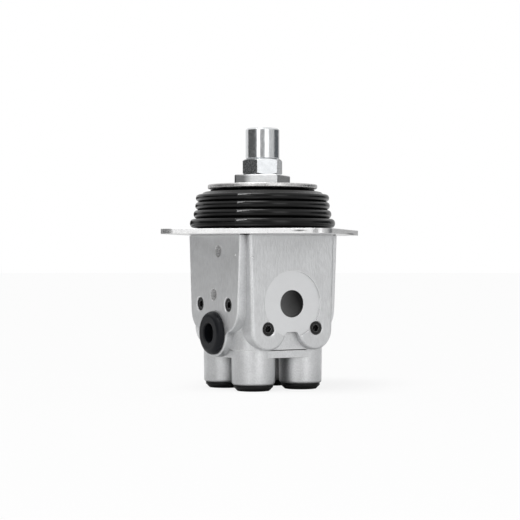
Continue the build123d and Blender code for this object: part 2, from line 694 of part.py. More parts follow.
def make_guide(side, angle):
    """Plunger guide: seated in the body, with a neck through the plate and grooves for two seals."""
    inner = PLUNGER_D / 2 + FIT
    groove = GUIDE_D / 2 - O_RING_D
    with BuildPart() as guide:
        with BuildSketch(bore_section(angle)):
            with BuildLine():
                Polyline(
                    (inner, -GUIDE_LONG),
                    (GUIDE_D / 2, -GUIDE_LONG),
                    (GUIDE_D / 2, -O_RING_DEPTH - O_RING_D * 0.6),
                    (groove, -O_RING_DEPTH - O_RING_D * 0.6),
                    (groove, -O_RING_DEPTH + O_RING_D * 0.6),
                    (GUIDE_D / 2, -O_RING_DEPTH + O_RING_D * 0.6),
                    (GUIDE_D / 2, 0),
                    (NECK_D / 2, 0),
                    (NECK_D / 2, PLATE_T + NECK_RISE),
                    (inner, PLATE_T + NECK_RISE),
                    (inner, -LIP_SEAL_DEPTH + LIP_SEAL_H / 2),
                    (LIP_SEAL_D / 2, -LIP_SEAL_DEPTH + LIP_SEAL_H / 2),
                    (LIP_SEAL_D / 2, -LIP_SEAL_DEPTH - LIP_SEAL_H / 2),
                    (inner, -LIP_SEAL_DEPTH - LIP_SEAL_H / 2),
                    close=True,
                )
            make_face()
        revolve(axis=bore_axis(angle))
    guide.part.label = f"plunger_guide_{side}"
    export_step(guide.part, f"parts/plunger_guide_{side}.step")


def make_lip_seal(side, angle):
    """Lip seal in the guide, which wipes the plunger."""
    inner = PLUNGER_D / 2 + FIT
    low = -LIP_SEAL_DEPTH - LIP_SEAL_H / 2
    with BuildPart() as seal:
        with BuildSketch(bore_section(angle)):
            with BuildLine():
                Polyline(
                    (LIP_SEAL_D / 2 - FIT, low),
                    (LIP_SEAL_D / 2 - FIT, low + LIP_SEAL_H),
                    (inner, low + LIP_SEAL_H),
                    (inner + LIP_RELIEF, low + LIP_SEAL_H / 2),
                    (inner + LIP_RELIEF, low),
                    close=True,
                )
            make_face()
        revolve(axis=bore_axis(angle))
    seal.part.label = f"plunger_seal_{side}"
    export_step(seal.part, f"parts/plunger_seal_{side}.step")


def make_plunger(side, angle):
    """Plunger: a domed tip under the swash plate and a hollow foot under the guide."""
    shoulder = PLUNGER_TIP - TIP_R + sqrt(TIP_R ** 2 - (PLUNGER_D / 2) ** 2)
    mid_angle = asin(PLUNGER_D / 2 / TIP_R) / 2
    with BuildPart() as plunger:
        with BuildSketch(bore_section(angle)):
            with BuildLine():
                ThreePointArc(
                    (0, PLUNGER_TIP),
                    (TIP_R * sin(mid_angle), PLUNGER_TIP - TIP_R + TIP_R * cos(mid_angle)),
                    (PLUNGER_D / 2, shoulder),
                )
                Polyline(
                    (PLUNGER_D / 2, shoulder),
                    (PLUNGER_D / 2, FOOT_TOP),
                    (FOOT_D / 2, FOOT_TOP),
                    (FOOT_D / 2, SEAT_TOP),
                    (PLUNGER_HOLE_D / 2, SEAT_TOP),
                    (PLUNGER_HOLE_D / 2, SEAT_TOP + PLUNGER_HOLE_LONG),
                    (0, SEAT_TOP + PLUNGER_HOLE_LONG),
                    (0, PLUNGER_TIP),
                )
            make_face()
        revolve(axis=bore_axis(angle))
    plunger.part.label = f"plunger_{side}"
    export_step(plunger.part, f"parts/plunger_{side}.step")


def make_spring_seat(side, angle):
    """Slotted seat under the plunger, slipped sideways under the spool's head."""
    hole = STEM_D / 2 + SEAT_GAP
    x, y = bore_point(angle)
    with BuildPart() as seat:
        with BuildSketch(bore_section(angle)):
            with BuildLine():
                Polyline(
                    (hole, SEAT_TOP),
                    (SPRING_SEAT_D / 2, SEAT_TOP),
                    (SPRING_SEAT_D / 2, SEAT_UNDER),
                    (SEAT_SKIRT_D / 2, SEAT_UNDER),
                    (SEAT_SKIRT_D / 2, SKIRT_UNDER),
                    (hole, SKIRT_UNDER),
                    close=True,
                )
            make_face()
        revolve(axis=bore_axis(angle))
        with BuildSketch(Plane(origin=(x, y, SKIRT_UNDER))):
            with Locations((SPRING_SEAT_D / 4, 0)):
                Rectangle(SPRING_SEAT_D / 2, 2 * hole)
        extrude(amount=SEAT_TOP - SKIRT_UNDER, mode=Mode.SUBTRACT)
    seat.part.label = f"spring_seat_{side}"
    export_step(seat.part, f"parts/spring_seat_{side}.step")


def make_spool(side, angle):
    """Metering spool: head, thin stem, spring collar, and lands with two turned grooves."""
    land = SPOOL_D / 2 - SPOOL_FIT
    head_under = SEAT_TOP + SEAT_GAP
    collar_under = -COLLAR_TOP - COLLAR_H
    drill_top = -SPOOL_GROOVES[0][0]
    outline = [
        (0, head_under + HEAD_H),
        (HEAD_D / 2, head_under + HEAD_H),
        (HEAD_D / 2, head_under),
        (STEM_D / 2, head_under),
        (STEM_D / 2, -COLLAR_TOP),
        (COLLAR_D / 2, -COLLAR_TOP),
        (COLLAR_D / 2, collar_under),
        (land, collar_under),
    ]
    for top, bottom in SPOOL_GROOVES:
        outline += [(land, -top), (SPOOL_CORE_D / 2, -top), (SPOOL_CORE_D / 2, -bottom), (land, -bottom)]
    outline += [
        (land, -SPOOL_END),
        (SPOOL_DRILL_D / 2, -SPOOL_END),
        (SPOOL_DRILL_D / 2, drill_top),
        (0, drill_top),
    ]
    with BuildPart() as spool:
        with BuildSketch(bore_section(angle)):
            with BuildLine():
                Polyline(*outline, close=True)
            make_face()
        revolve(axis=bore_axis(angle))
    spool.part.label = f"spool_{side}"
    export_step(spool.part, f"parts/spool_{side}.step")


def make_shim(name, angle, inner, outer, under):
    """Flat shim ring under a spring."""
    x, y = bore_point(angle)
    with BuildPart() as shim:
        with BuildSketch(Plane(origin=(x, y, under))):
            Circle(outer)
            Circle(inner, mode=Mode.SUBTRACT)
        extrude(amount=SHIM_T)
    shim.part.label = name
    export_step(shim.part, f"parts/{name}.step")


def make_spring(name, angle, coil_d, wire_d, turns, floor, ceiling):
    """Coil spring from floor to ceiling, of square-edged wire with its ends cut flat."""
    x, y = bore_point(angle)
    height = ceiling - floor - wire_d - SEAT_GAP
    with BuildPart() as spring:
        with BuildLine(Plane(origin=(x, y, floor + wire_d / 2))) as coil:
            path = Helix(pitch=height / turns, height=height, radius=coil_d / 2)
        with BuildSketch(Plane(origin=path @ 0, x_dir=(1, 0, 0), z_dir=path % 0)):
            Rectangle(wire_d * 0.86, wire_d * 0.86)
        sweep(path=coil.line, is_frenet=True)
    spring.part.label = name
    export_step(spring.part, f"parts/{name}.step")


def make_port_cap(side, angle):
    """Push-in cap that closes a work port: a chamfered disc with a hollow spigot."""
    top = -BOSS_BOTTOM
    bottom = top - CAP_T
    spigot = WORK_PORT_D / 2 - FIT
    with BuildPart() as cap:
        with BuildSketch(bore_section(angle)):
            with BuildLine():
                Polyline(
                    (0, top + CAP_FLOOR),
                    (spigot - CAP_SPIGOT_WALL, top + CAP_FLOOR),
                    (spigot - CAP_SPIGOT_WALL, top + CAP_SPIGOT_LONG),
                    (spigot - CAP_NOSE, top + CAP_SPIGOT_LONG),
                    (spigot, top + CAP_SPIGOT_LONG - CAP_NOSE),
                    (spigot, top),
                    (CAP_D / 2, top),
                    (CAP_D / 2, bottom + CAP_CHAMFER),
                    (CAP_D / 2 - CAP_CHAMFER, bottom),
                    (CAP_DISH_D / 2, bottom),
                    (CAP_DISH_D / 2 - CAP_DISH, bottom + CAP_DISH),
                    (0, bottom + CAP_DISH),
                    close=True,
                )
            make_face()
        revolve(axis=bore_axis(angle))
    cap.part.label = f"port_cap_{side}"
    export_step(cap.part, f"parts/port_cap_{side}.step")


for side, angle in SIDES.items():
    make_guide(side, angle)
    make_lip_seal(side, angle)
    make_plunger(side, angle)
    make_spring_seat(side, angle)
    make_spool(side, angle)
    make_shim(
        f"return_shim_{side}", angle, SPOOL_D / 2 + SHIM_OVERLAP, CHAMBER_D / 2 - 2 * FIT, -CHAMBER_DEPTH
    )
    make_shim(f"metering_shim_{side}", angle, STEM_D / 2 + FIT, COLLAR_D / 2, -COLLAR_TOP)
    make_spring(
        f"return_spring_{side}", angle, RETURN_COIL_D, RETURN_WIRE_D, RETURN_TURNS,
        RETURN_FLOOR, SEAT_UNDER,
    )
    make_spring(
        f"metering_spring_{side}", angle, METERING_COIL_D, METERING_WIRE_D, METERING_TURNS,
        METERING_FLOOR, SKIRT_UNDER,
    )
    make_port_cap(side, angle)

# one O-ring round each guide
with BuildPart() as guide_o_rings:
    ring_r = GUIDE_D / 2 + FIT - O_RING_D / 2 - O_RING_GAP
    for angle in SIDES.values():
        with BuildSketch(bore_section(angle)) as section:
            with Locations((ring_r, -O_RING_DEPTH)):
                RegularPolygon(O_RING_D / 2 - O_RING_GAP, O_RING_SIDES)
        revolve(section.sketch, axis=bore_axis(angle))

guide_o_rings.part.label = "guide_o_rings"
export_step(guide_o_rings.part, "parts/guide_o_rings.step")

# ---- plugs in the side faces ---------------------------------------------------------------------------

# soft plug in the pressure port: a domed flange with a round recess
with BuildPart() as side_port_plug:
    spigot = PRESSURE_PORT_D / 2 - FIT
    with BuildSketch(port_section(PRESSURE_FACE, PRESSURE_PORT_DEPTH)):
        with BuildLine():
            Polyline(
                (0, FACE_REACH - SIDE_PLUG_LONG),
                (spigot - SIDE_PLUG_NOSE, FACE_REACH - SIDE_PLUG_LONG),
                (spigot, FACE_REACH - SIDE_PLUG_LONG + SIDE_PLUG_NOSE),
                (spigot, FACE_REACH),
                (SIDE_PLUG_D / 2, FACE_REACH),
                (SIDE_PLUG_D / 2, FACE_REACH + SIDE_PLUG_T * 0.35),
            )
            ThreePointArc(
                (SIDE_PLUG_D / 2, FACE_REACH + SIDE_PLUG_T * 0.35),
                ((SIDE_PLUG_D + SIDE_PLUG_TOP_D) / 4 + SIDE_PLUG_SWELL, FACE_REACH + SIDE_PLUG_T * 0.8),
                (SIDE_PLUG_TOP_D / 2, FACE_REACH + SIDE_PLUG_T),
            )
            Polyline(
                (SIDE_PLUG_TOP_D / 2, FACE_REACH + SIDE_PLUG_T),
                (SIDE_PLUG_RECESS_D / 2 + SIDE_PLUG_LIP, FACE_REACH + SIDE_PLUG_T),
                (SIDE_PLUG_RECESS_D / 2, FACE_REACH + SIDE_PLUG_T - SIDE_PLUG_LIP),
                (SIDE_PLUG_RECESS_D / 2, FACE_REACH + SIDE_PLUG_T - SIDE_PLUG_RECESS),
                (0, FACE_REACH + SIDE_PLUG_T - SIDE_PLUG_RECESS),
                (0, FACE_REACH - SIDE_PLUG_LONG),
            )
        make_face()
    revolve(axis=port_axis(PRESSURE_FACE, PRESSURE_PORT_DEPTH))

side_port_plug.part.label = "side_port_plug"
export_step(side_port_plug.part, "parts/side_port_plug.step")

# sunk plug in the tank port, with a dished face
with BuildPart() as recessed_port_plug:
    plug_r = TANK_PORT_D / 2 - FIT
    plug_face = FACE_REACH - SPOT_CUT - RECESSED_PLUG_SUNK
    dish_r = plug_r - RECESSED_PLUG_RIM
    sphere_r = (dish_r ** 2 + RECESSED_PLUG_DISH ** 2) / (2 * RECESSED_PLUG_DISH)
    dish_floor = plug_face - RECESSED_PLUG_DISH
    with BuildSketch(port_section(TANK_FACE, TANK_PORT_DEPTH)):
        with BuildLine():
            Polyline(
                (0, dish_floor),
                (0, plug_face - RECESSED_PLUG_LONG),
                (plug_r, plug_face - RECESSED_PLUG_LONG),
                (plug_r, plug_face),
                (dish_r, plug_face),
            )
            ThreePointArc(
                (dish_r, plug_face),
                (dish_r / 2, dish_floor + sphere_r - sqrt(sphere_r ** 2 - dish_r ** 2 / 4)),
                (0, dish_floor),
            )
        make_face()
    revolve(axis=port_axis(TANK_FACE, TANK_PORT_DEPTH))

recessed_port_plug.part.label = "recessed_port_plug"
export_step(recessed_port_plug.part, "parts/recessed_port_plug.step")

# set screws that close the ends of the galleries
with BuildPart() as gallery_set_screws:
    for angle, depth in ((TANK_FACE, PRESSURE_GALLERY_DEPTH), (PRESSURE_FACE, TANK_GALLERY_DEPTH)):
        spots = [(GALLERY_ACROSS, -depth), (-GALLERY_ACROSS, -depth)]
        with BuildSketch(face_plane(angle, FACE_REACH - SCREW_SUNK)):
            with Locations(*spots):
                Circle(SCREW_D / 2)
        extrude(amount=-SCREW_LONG)
        with BuildSketch(face_plane(angle, FACE_REACH - SCREW_SUNK)):
            with Locations(*spots):
                RegularPolygon(SOCKET_AF / 2, 6, major_radius=False)
        extrude(amount=-SOCKET_DEPTH, mode=Mode.SUBTRACT)

gallery_set_screws.part.label = "gallery_set_screws"
export_step(gallery_set_screws.part, "parts/gallery_set_screws.step")
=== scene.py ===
# %% [markdown]
# A hydraulic pilot valve is what the joystick of a digger or loader stands on. The driver tilts
# the lever, a disc under the rubber boot pushes plungers down into the cast body, and each plunger
# lets pilot oil through to a port underneath. All rigid pieces come from the CAD model. This file
# gives them their finishes, makes the boot as a soft bellows, and sets up the studio.

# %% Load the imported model
import json
from math import cos, degrees, hypot, pi, radians, sin
from random import Random

import bmesh
import bpy
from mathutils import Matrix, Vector

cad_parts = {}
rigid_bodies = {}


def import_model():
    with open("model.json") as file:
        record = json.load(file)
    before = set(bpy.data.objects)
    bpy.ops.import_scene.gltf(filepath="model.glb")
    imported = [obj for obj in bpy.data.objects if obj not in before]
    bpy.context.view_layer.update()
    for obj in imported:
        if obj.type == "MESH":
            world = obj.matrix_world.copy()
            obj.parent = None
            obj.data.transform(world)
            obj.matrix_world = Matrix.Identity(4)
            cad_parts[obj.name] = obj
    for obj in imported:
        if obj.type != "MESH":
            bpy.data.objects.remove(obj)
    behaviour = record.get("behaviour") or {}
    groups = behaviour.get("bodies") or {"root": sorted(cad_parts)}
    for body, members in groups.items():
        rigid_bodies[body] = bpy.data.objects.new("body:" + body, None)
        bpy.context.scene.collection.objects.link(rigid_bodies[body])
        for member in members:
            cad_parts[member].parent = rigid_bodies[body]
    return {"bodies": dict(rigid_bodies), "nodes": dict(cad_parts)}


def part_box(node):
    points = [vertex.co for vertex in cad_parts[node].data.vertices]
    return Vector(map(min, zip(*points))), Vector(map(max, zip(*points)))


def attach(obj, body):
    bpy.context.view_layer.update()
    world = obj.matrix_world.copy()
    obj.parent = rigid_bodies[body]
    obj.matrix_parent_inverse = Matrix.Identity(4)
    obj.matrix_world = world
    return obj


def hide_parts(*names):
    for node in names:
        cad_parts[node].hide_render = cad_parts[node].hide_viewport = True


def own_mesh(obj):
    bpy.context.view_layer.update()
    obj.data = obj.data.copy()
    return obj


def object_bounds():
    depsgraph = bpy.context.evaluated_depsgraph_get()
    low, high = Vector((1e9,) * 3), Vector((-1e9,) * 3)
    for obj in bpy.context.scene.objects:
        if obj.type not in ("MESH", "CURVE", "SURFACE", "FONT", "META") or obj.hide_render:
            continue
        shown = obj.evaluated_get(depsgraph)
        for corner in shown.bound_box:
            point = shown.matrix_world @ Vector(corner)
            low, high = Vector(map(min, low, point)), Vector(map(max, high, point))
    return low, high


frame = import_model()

MM = 0.001
nodes = frame["nodes"]
cad_box = [list(corner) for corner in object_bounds()]
print("nodes from CAD:", len(nodes))
print("overall size in mm:", [round((high - low) / MM, 1) for low, high in zip(*cad_box)])

# %% [markdown]
# Blender's shader nodes are placed and wired one by one, which soon hides what a material does.
# One small helper takes a node's inputs as a dictionary. A plain value is typed into the socket,
# and another node's output is linked to it, so that a material reads like a list of its parts.

# %% A helper that adds one shader node
def add(tree, kind, inputs=None, **settings):
    """Adds a shader node. Each input is a plain value or another node's output socket."""
    node = tree.nodes.new("ShaderNode" + kind)
    for name, value in settings.items():
        setattr(node, name, value)
    for name, value in (inputs or {}).items():
        if isinstance(value, bpy.types.NodeSocket):
            tree.links.new(value, node.inputs[name])
        else:
            node.inputs[name].default_value = value
    return node


def calculate(tree, operation, first, second=0.0, clamp=False):
    """The output of one Math node."""
    return add(tree, "Math", {0: first, 1: second}, operation=operation, use_clamp=clamp).outputs[0]


def remap(tree, value, low, high, new_low=0.0, new_high=1.0):
    """The output of a Map Range node: low to high becomes new_low to new_high, and no further."""
    inputs = {"Value": value, "From Min": low, "From Max": high, "To Min": new_low,
              "To Max": new_high}
    return add(tree, "MapRange", inputs).outputs[0]


def blend_colours(tree, amount, first, second):
    """The output of a Mix node that goes from the first colour to the second."""
    node = add(tree, "Mix", data_type="RGBA")
    for index, value in ((0, amount), (6, first), (7, second)):
        if isinstance(value, bpy.types.NodeSocket):
            tree.links.new(value, node.inputs[index])
        else:
            node.inputs[index].default_value = value
    return node.outputs[2]


def grey(level, warmth=0.0):
    """A near neutral colour. A warmth above zero leans to yellow, and below zero to blue."""
    return (level * (1 + warmth), level, level * (1 - warmth), 1.0)

# %% [markdown]
# Four effects are shared by the finishes here, so each is a node group with its own inputs. Grain
# is noise that can be stretched, for the skin of a casting, the lines of a linishing belt, or the
# clouding of a plated sheet. Turning is the fine ring pattern that a lathe leaves. Edges finds
# where two faces meet, for wear, and gives the softened normal that catches a highlight. The
# fourth is one ragged dark spot at a given place, a painted reflection of dark surroundings.

# %% Start a node group with named sockets
def start_group(name, inputs, outputs):
    """A new shader group, with the sockets inside it that bring values in and take them out."""
    group = bpy.data.node_groups.new(name, "ShaderNodeTree")
    for socket, (kind, value) in inputs.items():
        made = group.interface.new_socket(socket, in_out="INPUT", socket_type="NodeSocket" + kind)
        made.default_value = value
    for socket, kind in outputs.items():
        group.interface.new_socket(socket, in_out="OUTPUT", socket_type="NodeSocket" + kind)
    brings = group.nodes.new("NodeGroupInput").outputs
    takes = group.nodes.new("NodeGroupOutput").inputs
    return group, brings, takes


def use_group(tree, group, **inputs):
    """Places a group in a material, with this material's own values."""
    node = tree.nodes.new("ShaderNodeGroup")
    node.node_tree = group
    for name, value in inputs.items():
        node.inputs[name].default_value = value
    return node

# %% The grain group
grain_group, brings, takes = start_group(
    "Grain",
    {"Size": ("Float", 0.001), "Stretch": ("Vector", (1, 1, 1)), "Contrast": ("Float", 0.2)},
    {"Grain": "Float"},
)
place = add(grain_group, "TexCoord").outputs["Object"]
stretched = add(grain_group, "VectorMath", {0: place, 1: brings["Stretch"]}, operation="MULTIPLY")
spots = add(grain_group, "TexNoise", {
    "Vector": stretched.outputs[0],
    "Scale": calculate(grain_group, "DIVIDE", 1.0, brings["Size"]),
    "Detail": 4.0,
    "Roughness": 0.62,
})
low = calculate(grain_group, "SUBTRACT", 0.5, brings["Contrast"])
high = calculate(grain_group, "ADD", 0.5, brings["Contrast"])
grain_group.links.new(remap(grain_group, spots.outputs[0], low, high), takes["Grain"])
print("grain group sockets:", [item.name for item in grain_group.interface.items_tree])

# %% The turning group
turning_group, brings, takes = start_group(
    "Turning", {"Pitch": ("Float", 0.0004)}, {"Ring": "Float"}
)
place = add(turning_group, "TexCoord").outputs["Object"]
rings = add(turning_group, "TexWave", {
    "Vector": place,
    "Scale": calculate(turning_group, "DIVIDE", 1 / 20.0, brings["Pitch"]),
    "Distortion": 1.5,
    "Detail": 2.0,
    "Detail Scale": 0.4,
}, wave_type="BANDS", bands_direction="Z")
turning_group.links.new(rings.outputs["Fac"], takes["Ring"])
print("turning group sockets:", [item.name for item in turning_group.interface.items_tree])

# %% The edges group
BEVEL_SAMPLES = 6
BEND_AT_FLAT = 0.01   # how far the two normals part where wear starts, and where it is full
BEND_AT_EDGE = 0.12
edges_group, brings, takes = start_group(
    "Edges", {"Radius": ("Float", 0.0003), "Width": ("Float", 0.0006)},
    {"Edge": "Float", "Normal": "Vector"}
)
soft = add(edges_group, "Bevel", {"Radius": brings["Radius"]}, samples=BEVEL_SAMPLES).outputs[0]
wide = add(edges_group, "Bevel", {"Radius": brings["Width"]}, samples=BEVEL_SAMPLES).outputs[0]
true = add(edges_group, "NewGeometry").outputs["Normal"]
facing = add(edges_group, "VectorMath", {0: wide, 1: true},
             operation="DOT_PRODUCT").outputs["Value"]
bend = calculate(edges_group, "SUBTRACT", 1.0, facing)
edges_group.links.new(remap(edges_group, bend, BEND_AT_FLAT, BEND_AT_EDGE), takes["Edge"])
edges_group.links.new(soft, takes["Normal"])
print("edges group sockets:", [item.name for item in edges_group.interface.items_tree])

# %% The painted dark reflection group
RAGGED_SCALE = 700.0
RAGGED_SHARE = 0.9
REFLECTION_SPOT_FULL = 0.7      # in half sizes from the middle, once the ragged noise is added
REFLECTION_SPOT_GONE = 1.4
REFLECTION_SPOT_STRENGTH = 0.9
dark_reflection_group, brings, takes = start_group(
    "PaintedReflectionSpot", {"Middle": ("Vector", (0, 0, 0)), "HalfSizes": ("Vector", (1, 1, 1))},
    {"Dark Reflection": "Float"}
)
place = add(dark_reflection_group, "TexCoord").outputs["Object"]
apart = add(dark_reflection_group, "VectorMath", {0: place, 1: brings["Middle"]}, operation="SUBTRACT")
measured = add(dark_reflection_group, "VectorMath", {0: apart.outputs[0], 1: brings["HalfSizes"]},
               operation="DIVIDE")
away = add(dark_reflection_group, "VectorMath", {0: measured.outputs[0]},
           operation="LENGTH").outputs["Value"]
ragged = add(dark_reflection_group, "TexNoise", {"Vector": place, "Scale": RAGGED_SCALE, "Detail": 3.0})
raised = calculate(dark_reflection_group, "MULTIPLY", ragged.outputs[0], RAGGED_SHARE)
away = calculate(dark_reflection_group, "ADD", away, raised)
painted_dark_share = remap(dark_reflection_group, away, REFLECTION_SPOT_FULL, REFLECTION_SPOT_GONE, REFLECTION_SPOT_STRENGTH, 0.0)
dark_reflection_group.links.new(painted_dark_share, takes["Dark Reflection"])
print("painted reflection spot group sockets:", [item.name for item in dark_reflection_group.interface.items_tree])

# %% [markdown]
# Every finish has the same skeleton: two shades mixed by large clouds, a fine grain that varies
# the roughness and lifts the surface a few hundredths of a millimetre, and edges that are worn a
# little. What makes one look like linished aluminium and another like bright zinc is the values.
# Two more effects are asked for by name, and both are painted shade. One darkens a surface that
# others stand close to, as between two bosses, where shade falls. The fade darkens a piece towards
# one side, as the light and its reflections fall on it. The plate's dark spots are painted
# reflection.

# %% The skeleton of a finish
# The first four values set the painted shade in hollow places, which is darker where little open sky
# is seen.
SKY_SAMPLES = 8
SKY_SHUT = 0.1    # the share of open sky at which a hollow is darkest, and at which it ends
SKY_OPEN = 0.6
HOLLOW_SHADE_TONE = 0.02
# the tone of the painted dark reflection spots
REFLECTION_SPOT_TONE = 0.06


def finish(name, shades, roughness, metallic, clouds=0.012, grain=0.0006, stretch=(1, 1, 1),
           lift=0.00002, contrast=0.2, worn=None, wear=0.5, soft=0.0003, turned=None, specular=0.5,
           hollow_shade=None, fade=None, reflection_spots=()):
    """A procedural material. shades are (pale, deep), roughness (smoothest, roughest).

    Sizes are in metres. The painted shade in hollow places is (reach, darkness), the fade of
    painted shade towards one side is (direction, start, end, lowest), and the spots of painted dark
    reflection are (middle, half sizes).
    """
    material = bpy.data.materials.new(name)
    material.use_nodes = True
    tree = material.node_tree
    tree.nodes.clear()
    cloud = use_group(tree, grain_group, Size=clouds, Contrast=0.25).outputs["Grain"]
    fine = use_group(tree, grain_group, Size=grain, Stretch=stretch, Contrast=contrast)
    fine = fine.outputs["Grain"]
    edge = use_group(tree, edges_group, Radius=soft, Width=soft * 2)
    if turned:
        ring = use_group(tree, turning_group, Pitch=turned).outputs["Ring"]
        fine = calculate(tree, "MULTIPLY", calculate(tree, "ADD", fine, ring), 0.5)
    mottled = calculate(tree, "MULTIPLY", calculate(tree, "ADD", cloud, fine), 0.5)
    colour = blend_colours(tree, mottled, shades[1], shades[0])
    if worn:
        rubbed = calculate(tree, "MULTIPLY", edge.outputs["Edge"], wear)
        rubbed = calculate(tree, "MULTIPLY", rubbed, remap(tree, fine, 0.1, 0.7, 0.4, 1.0))
        colour = blend_colours(tree, rubbed, colour, worn)
    # Painted shade: the colour goes darker where little open sky is seen, as between bosses and in
    # grooves.
    if hollow_shade:
        reach, darkness = hollow_shade
        open_sky = add(tree, "AmbientOcclusion", {"Distance": reach},
                       samples=SKY_SAMPLES).outputs["AO"]
        shaded = remap(tree, open_sky, SKY_SHUT, SKY_OPEN, darkness, 0.0)
        colour = blend_colours(tree, shaded, colour, grey(HOLLOW_SHADE_TONE))
    # Painted shade: the colour goes darker towards one side of the piece, as the light and its
    # reflections fall.
    if fade:
        direction, start, end, lowest = fade
        place = add(tree, "TexCoord").outputs["Object"]
        along = add(tree, "VectorMath", {0: place, 1: direction}, operation="DOT_PRODUCT")
        painted_shade_share = remap(tree, along.outputs["Value"], start, end, 1.0 - lowest, 0.0)
        colour = blend_colours(tree, painted_shade_share, colour, grey(0.0))
    # Painted reflection: ragged dark spots where the surface would reflect something dark.
    for middle, half_sizes in reflection_spots:
        reflection_spot_node = use_group(tree, dark_reflection_group, Middle=middle, HalfSizes=half_sizes)
        colour = blend_colours(tree, reflection_spot_node.outputs["Dark Reflection"], colour, grey(REFLECTION_SPOT_TONE))
    bump = add(tree, "Bump", {
        "Strength": 1.0, "Distance": lift, "Height": fine, "Normal": edge.outputs["Normal"],
    })
    shader = add(tree, "BsdfPrincipled", {
        "Base Color": colour,
        "Metallic": metallic,
        "Roughness": remap(tree, fine, 0.0, 1.0, *roughness),
        "Specular IOR Level": specular,
        "Normal": bump.outputs[0],
    })
    output = add(tree, "OutputMaterial", {"Surface": shader.outputs[0]})
    output.is_active_output = True
    return material

# %% [markdown]
# The body is die cast aluminium. Its flat faces have been drawn over an abrasive belt, which
# leaves a satin grain that runs straight down. The round spot face is cut by a milling tool and
# is smoother and paler, and the cast skin behind the faces and on the four bosses is duller.

# %% Finishes of the cast body
GRAIN_DOWN = (1.0, 1.0, 0.28)
linished_aluminium = finish(
    "linished_aluminium", (grey(0.71, -0.01), grey(0.57, -0.01)), (0.38, 0.54), 0.9,
    clouds=0.010, grain=0.0011, stretch=GRAIN_DOWN, lift=0.00005, contrast=0.11,
    worn=grey(0.88), wear=0.7, soft=0.0005, hollow_shade=(0.006, 0.3))
cast_skin = finish(
    "cast_skin", (grey(0.74, -0.01), grey(0.58, -0.01)), (0.31, 0.45), 0.9,
    clouds=0.008, grain=0.0010, lift=0.00005, contrast=0.13,
    worn=grey(0.88), wear=0.7, soft=0.0005, hollow_shade=(0.012, 0.8))
milled_aluminium = finish(
    "milled_aluminium", (grey(0.78, -0.01), grey(0.70, -0.01)), (0.34, 0.42), 0.9,
    clouds=0.015, grain=0.0004, lift=0.000005, worn=grey(0.9), wear=0.7, soft=0.0004)
bored_aluminium = finish(
    "bored_aluminium", (grey(0.95), grey(0.60)), (0.22, 0.36), 0.2,
    clouds=0.002, grain=0.0006, lift=0.00003, contrast=0.1)

# %% [markdown]
# Bright zinc is thin and even, so it keeps the rolled or ground surface beneath it: near mirror on
# the turned tube, silky on the two nuts, and finely brushed on the disc. The plate is pressed from
# thicker sheet and its plating is whiter. The pieces inside were turned and ground, and stay oiled.

# %% Finishes of the plated and bare steel
bright_zinc = finish(
    "bright_zinc", (grey(0.76, -0.015), grey(0.66, -0.02)), (0.17, 0.27), 1.0,
    clouds=0.006, grain=0.0007, stretch=(1, 1, 0.5), lift=0.000008, worn=grey(0.88), wear=0.5,
    soft=0.0004)
satin_zinc = finish(
    "satin_zinc", (grey(0.53, -0.02), grey(0.40, -0.03)), (0.20, 0.30), 1.0,
    clouds=0.004, grain=0.0007, lift=0.000012, worn=grey(0.9), wear=0.5, soft=0.0004)
# The nut's front goes darker towards its left: painted shade, where the face reflects darker
# surroundings.
NUT_SHADE_RAMP_WAY = (0.9724, 0.2334, 0.0)
brushed_zinc = finish(
    "brushed_zinc", (grey(0.74, -0.01), grey(0.58, -0.01)), (0.28, 0.42), 1.0,
    clouds=0.004, grain=0.0008, lift=0.00003, contrast=0.14, worn=grey(0.9), wear=0.6, soft=0.0003,
    fade=(NUT_SHADE_RAMP_WAY, -0.0115, -0.0066, 0.25))
# A much darker copy of the nut's zinc for two of its sides: painted shade.
shaded_side_zinc = finish(
    "shaded_side_zinc", (grey(0.30, -0.01), grey(0.20, -0.01)), (0.26, 0.40), 1.0,
    clouds=0.004, grain=0.0008, lift=0.00003, contrast=0.14, worn=grey(0.8), wear=0.6, soft=0.0003)
blasted_zinc = finish(
    "blasted_zinc", (grey(0.64, 0.01), grey(0.46, 0.01)), (0.24, 0.38), 1.0,
    clouds=0.005, grain=0.0009, lift=0.00004, contrast=0.12, worn=grey(0.80), wear=0.4, soft=0.0002)
# each painted dark reflection spot's middle and half sizes, in metres: dark spots painted on the
# plate where it reflects something dark
PLATE_REFLECTION_SPOTS = [((0.035, -0.0525, 0.0017), (0.0055, 0.002, 0.0007)),
                ((0.0525, 0.018, 0.0006), (0.002, 0.018, 0.0009))]
plated_sheet = finish(
    "plated_sheet", (grey(0.68), grey(0.52)), (0.24, 0.36), 0.95,
    clouds=0.007, grain=0.0009, lift=0.00002, worn=grey(0.9), wear=0.4, soft=0.0004,
    reflection_spots=PLATE_REFLECTION_SPOTS)
turned_steel = finish(
    "turned_steel", (grey(0.60, -0.01), grey(0.48, -0.01)), (0.18, 0.32), 1.0,
    clouds=0.005, grain=0.0003, lift=0.000006, turned=0.0004, worn=grey(0.8), soft=0.0002)
spring_steel = finish(
    "spring_steel", (grey(0.34, -0.02), grey(0.22, -0.02)), (0.26, 0.40), 1.0,
    clouds=0.003, grain=0.0003, lift=0.000006, soft=0.0002)
bronze = finish(
    "bronze", ((0.66, 0.48, 0.27, 1), (0.50, 0.34, 0.17, 1)), (0.24, 0.38), 1.0,
    clouds=0.005, grain=0.0003, lift=0.000006, turned=0.0004, worn=(0.8, 0.62, 0.38, 1),
    soft=0.0002)

# %% [markdown]
# Four pieces are black, and each in its own way. The boot is moulded rubber with a wet gloss, the
# seals are duller rubber, the port caps are matte plastic that scuffs grey at its corners, and the
# set screws are steel under black oxide. The boot's grain runs round it and stays very faint.

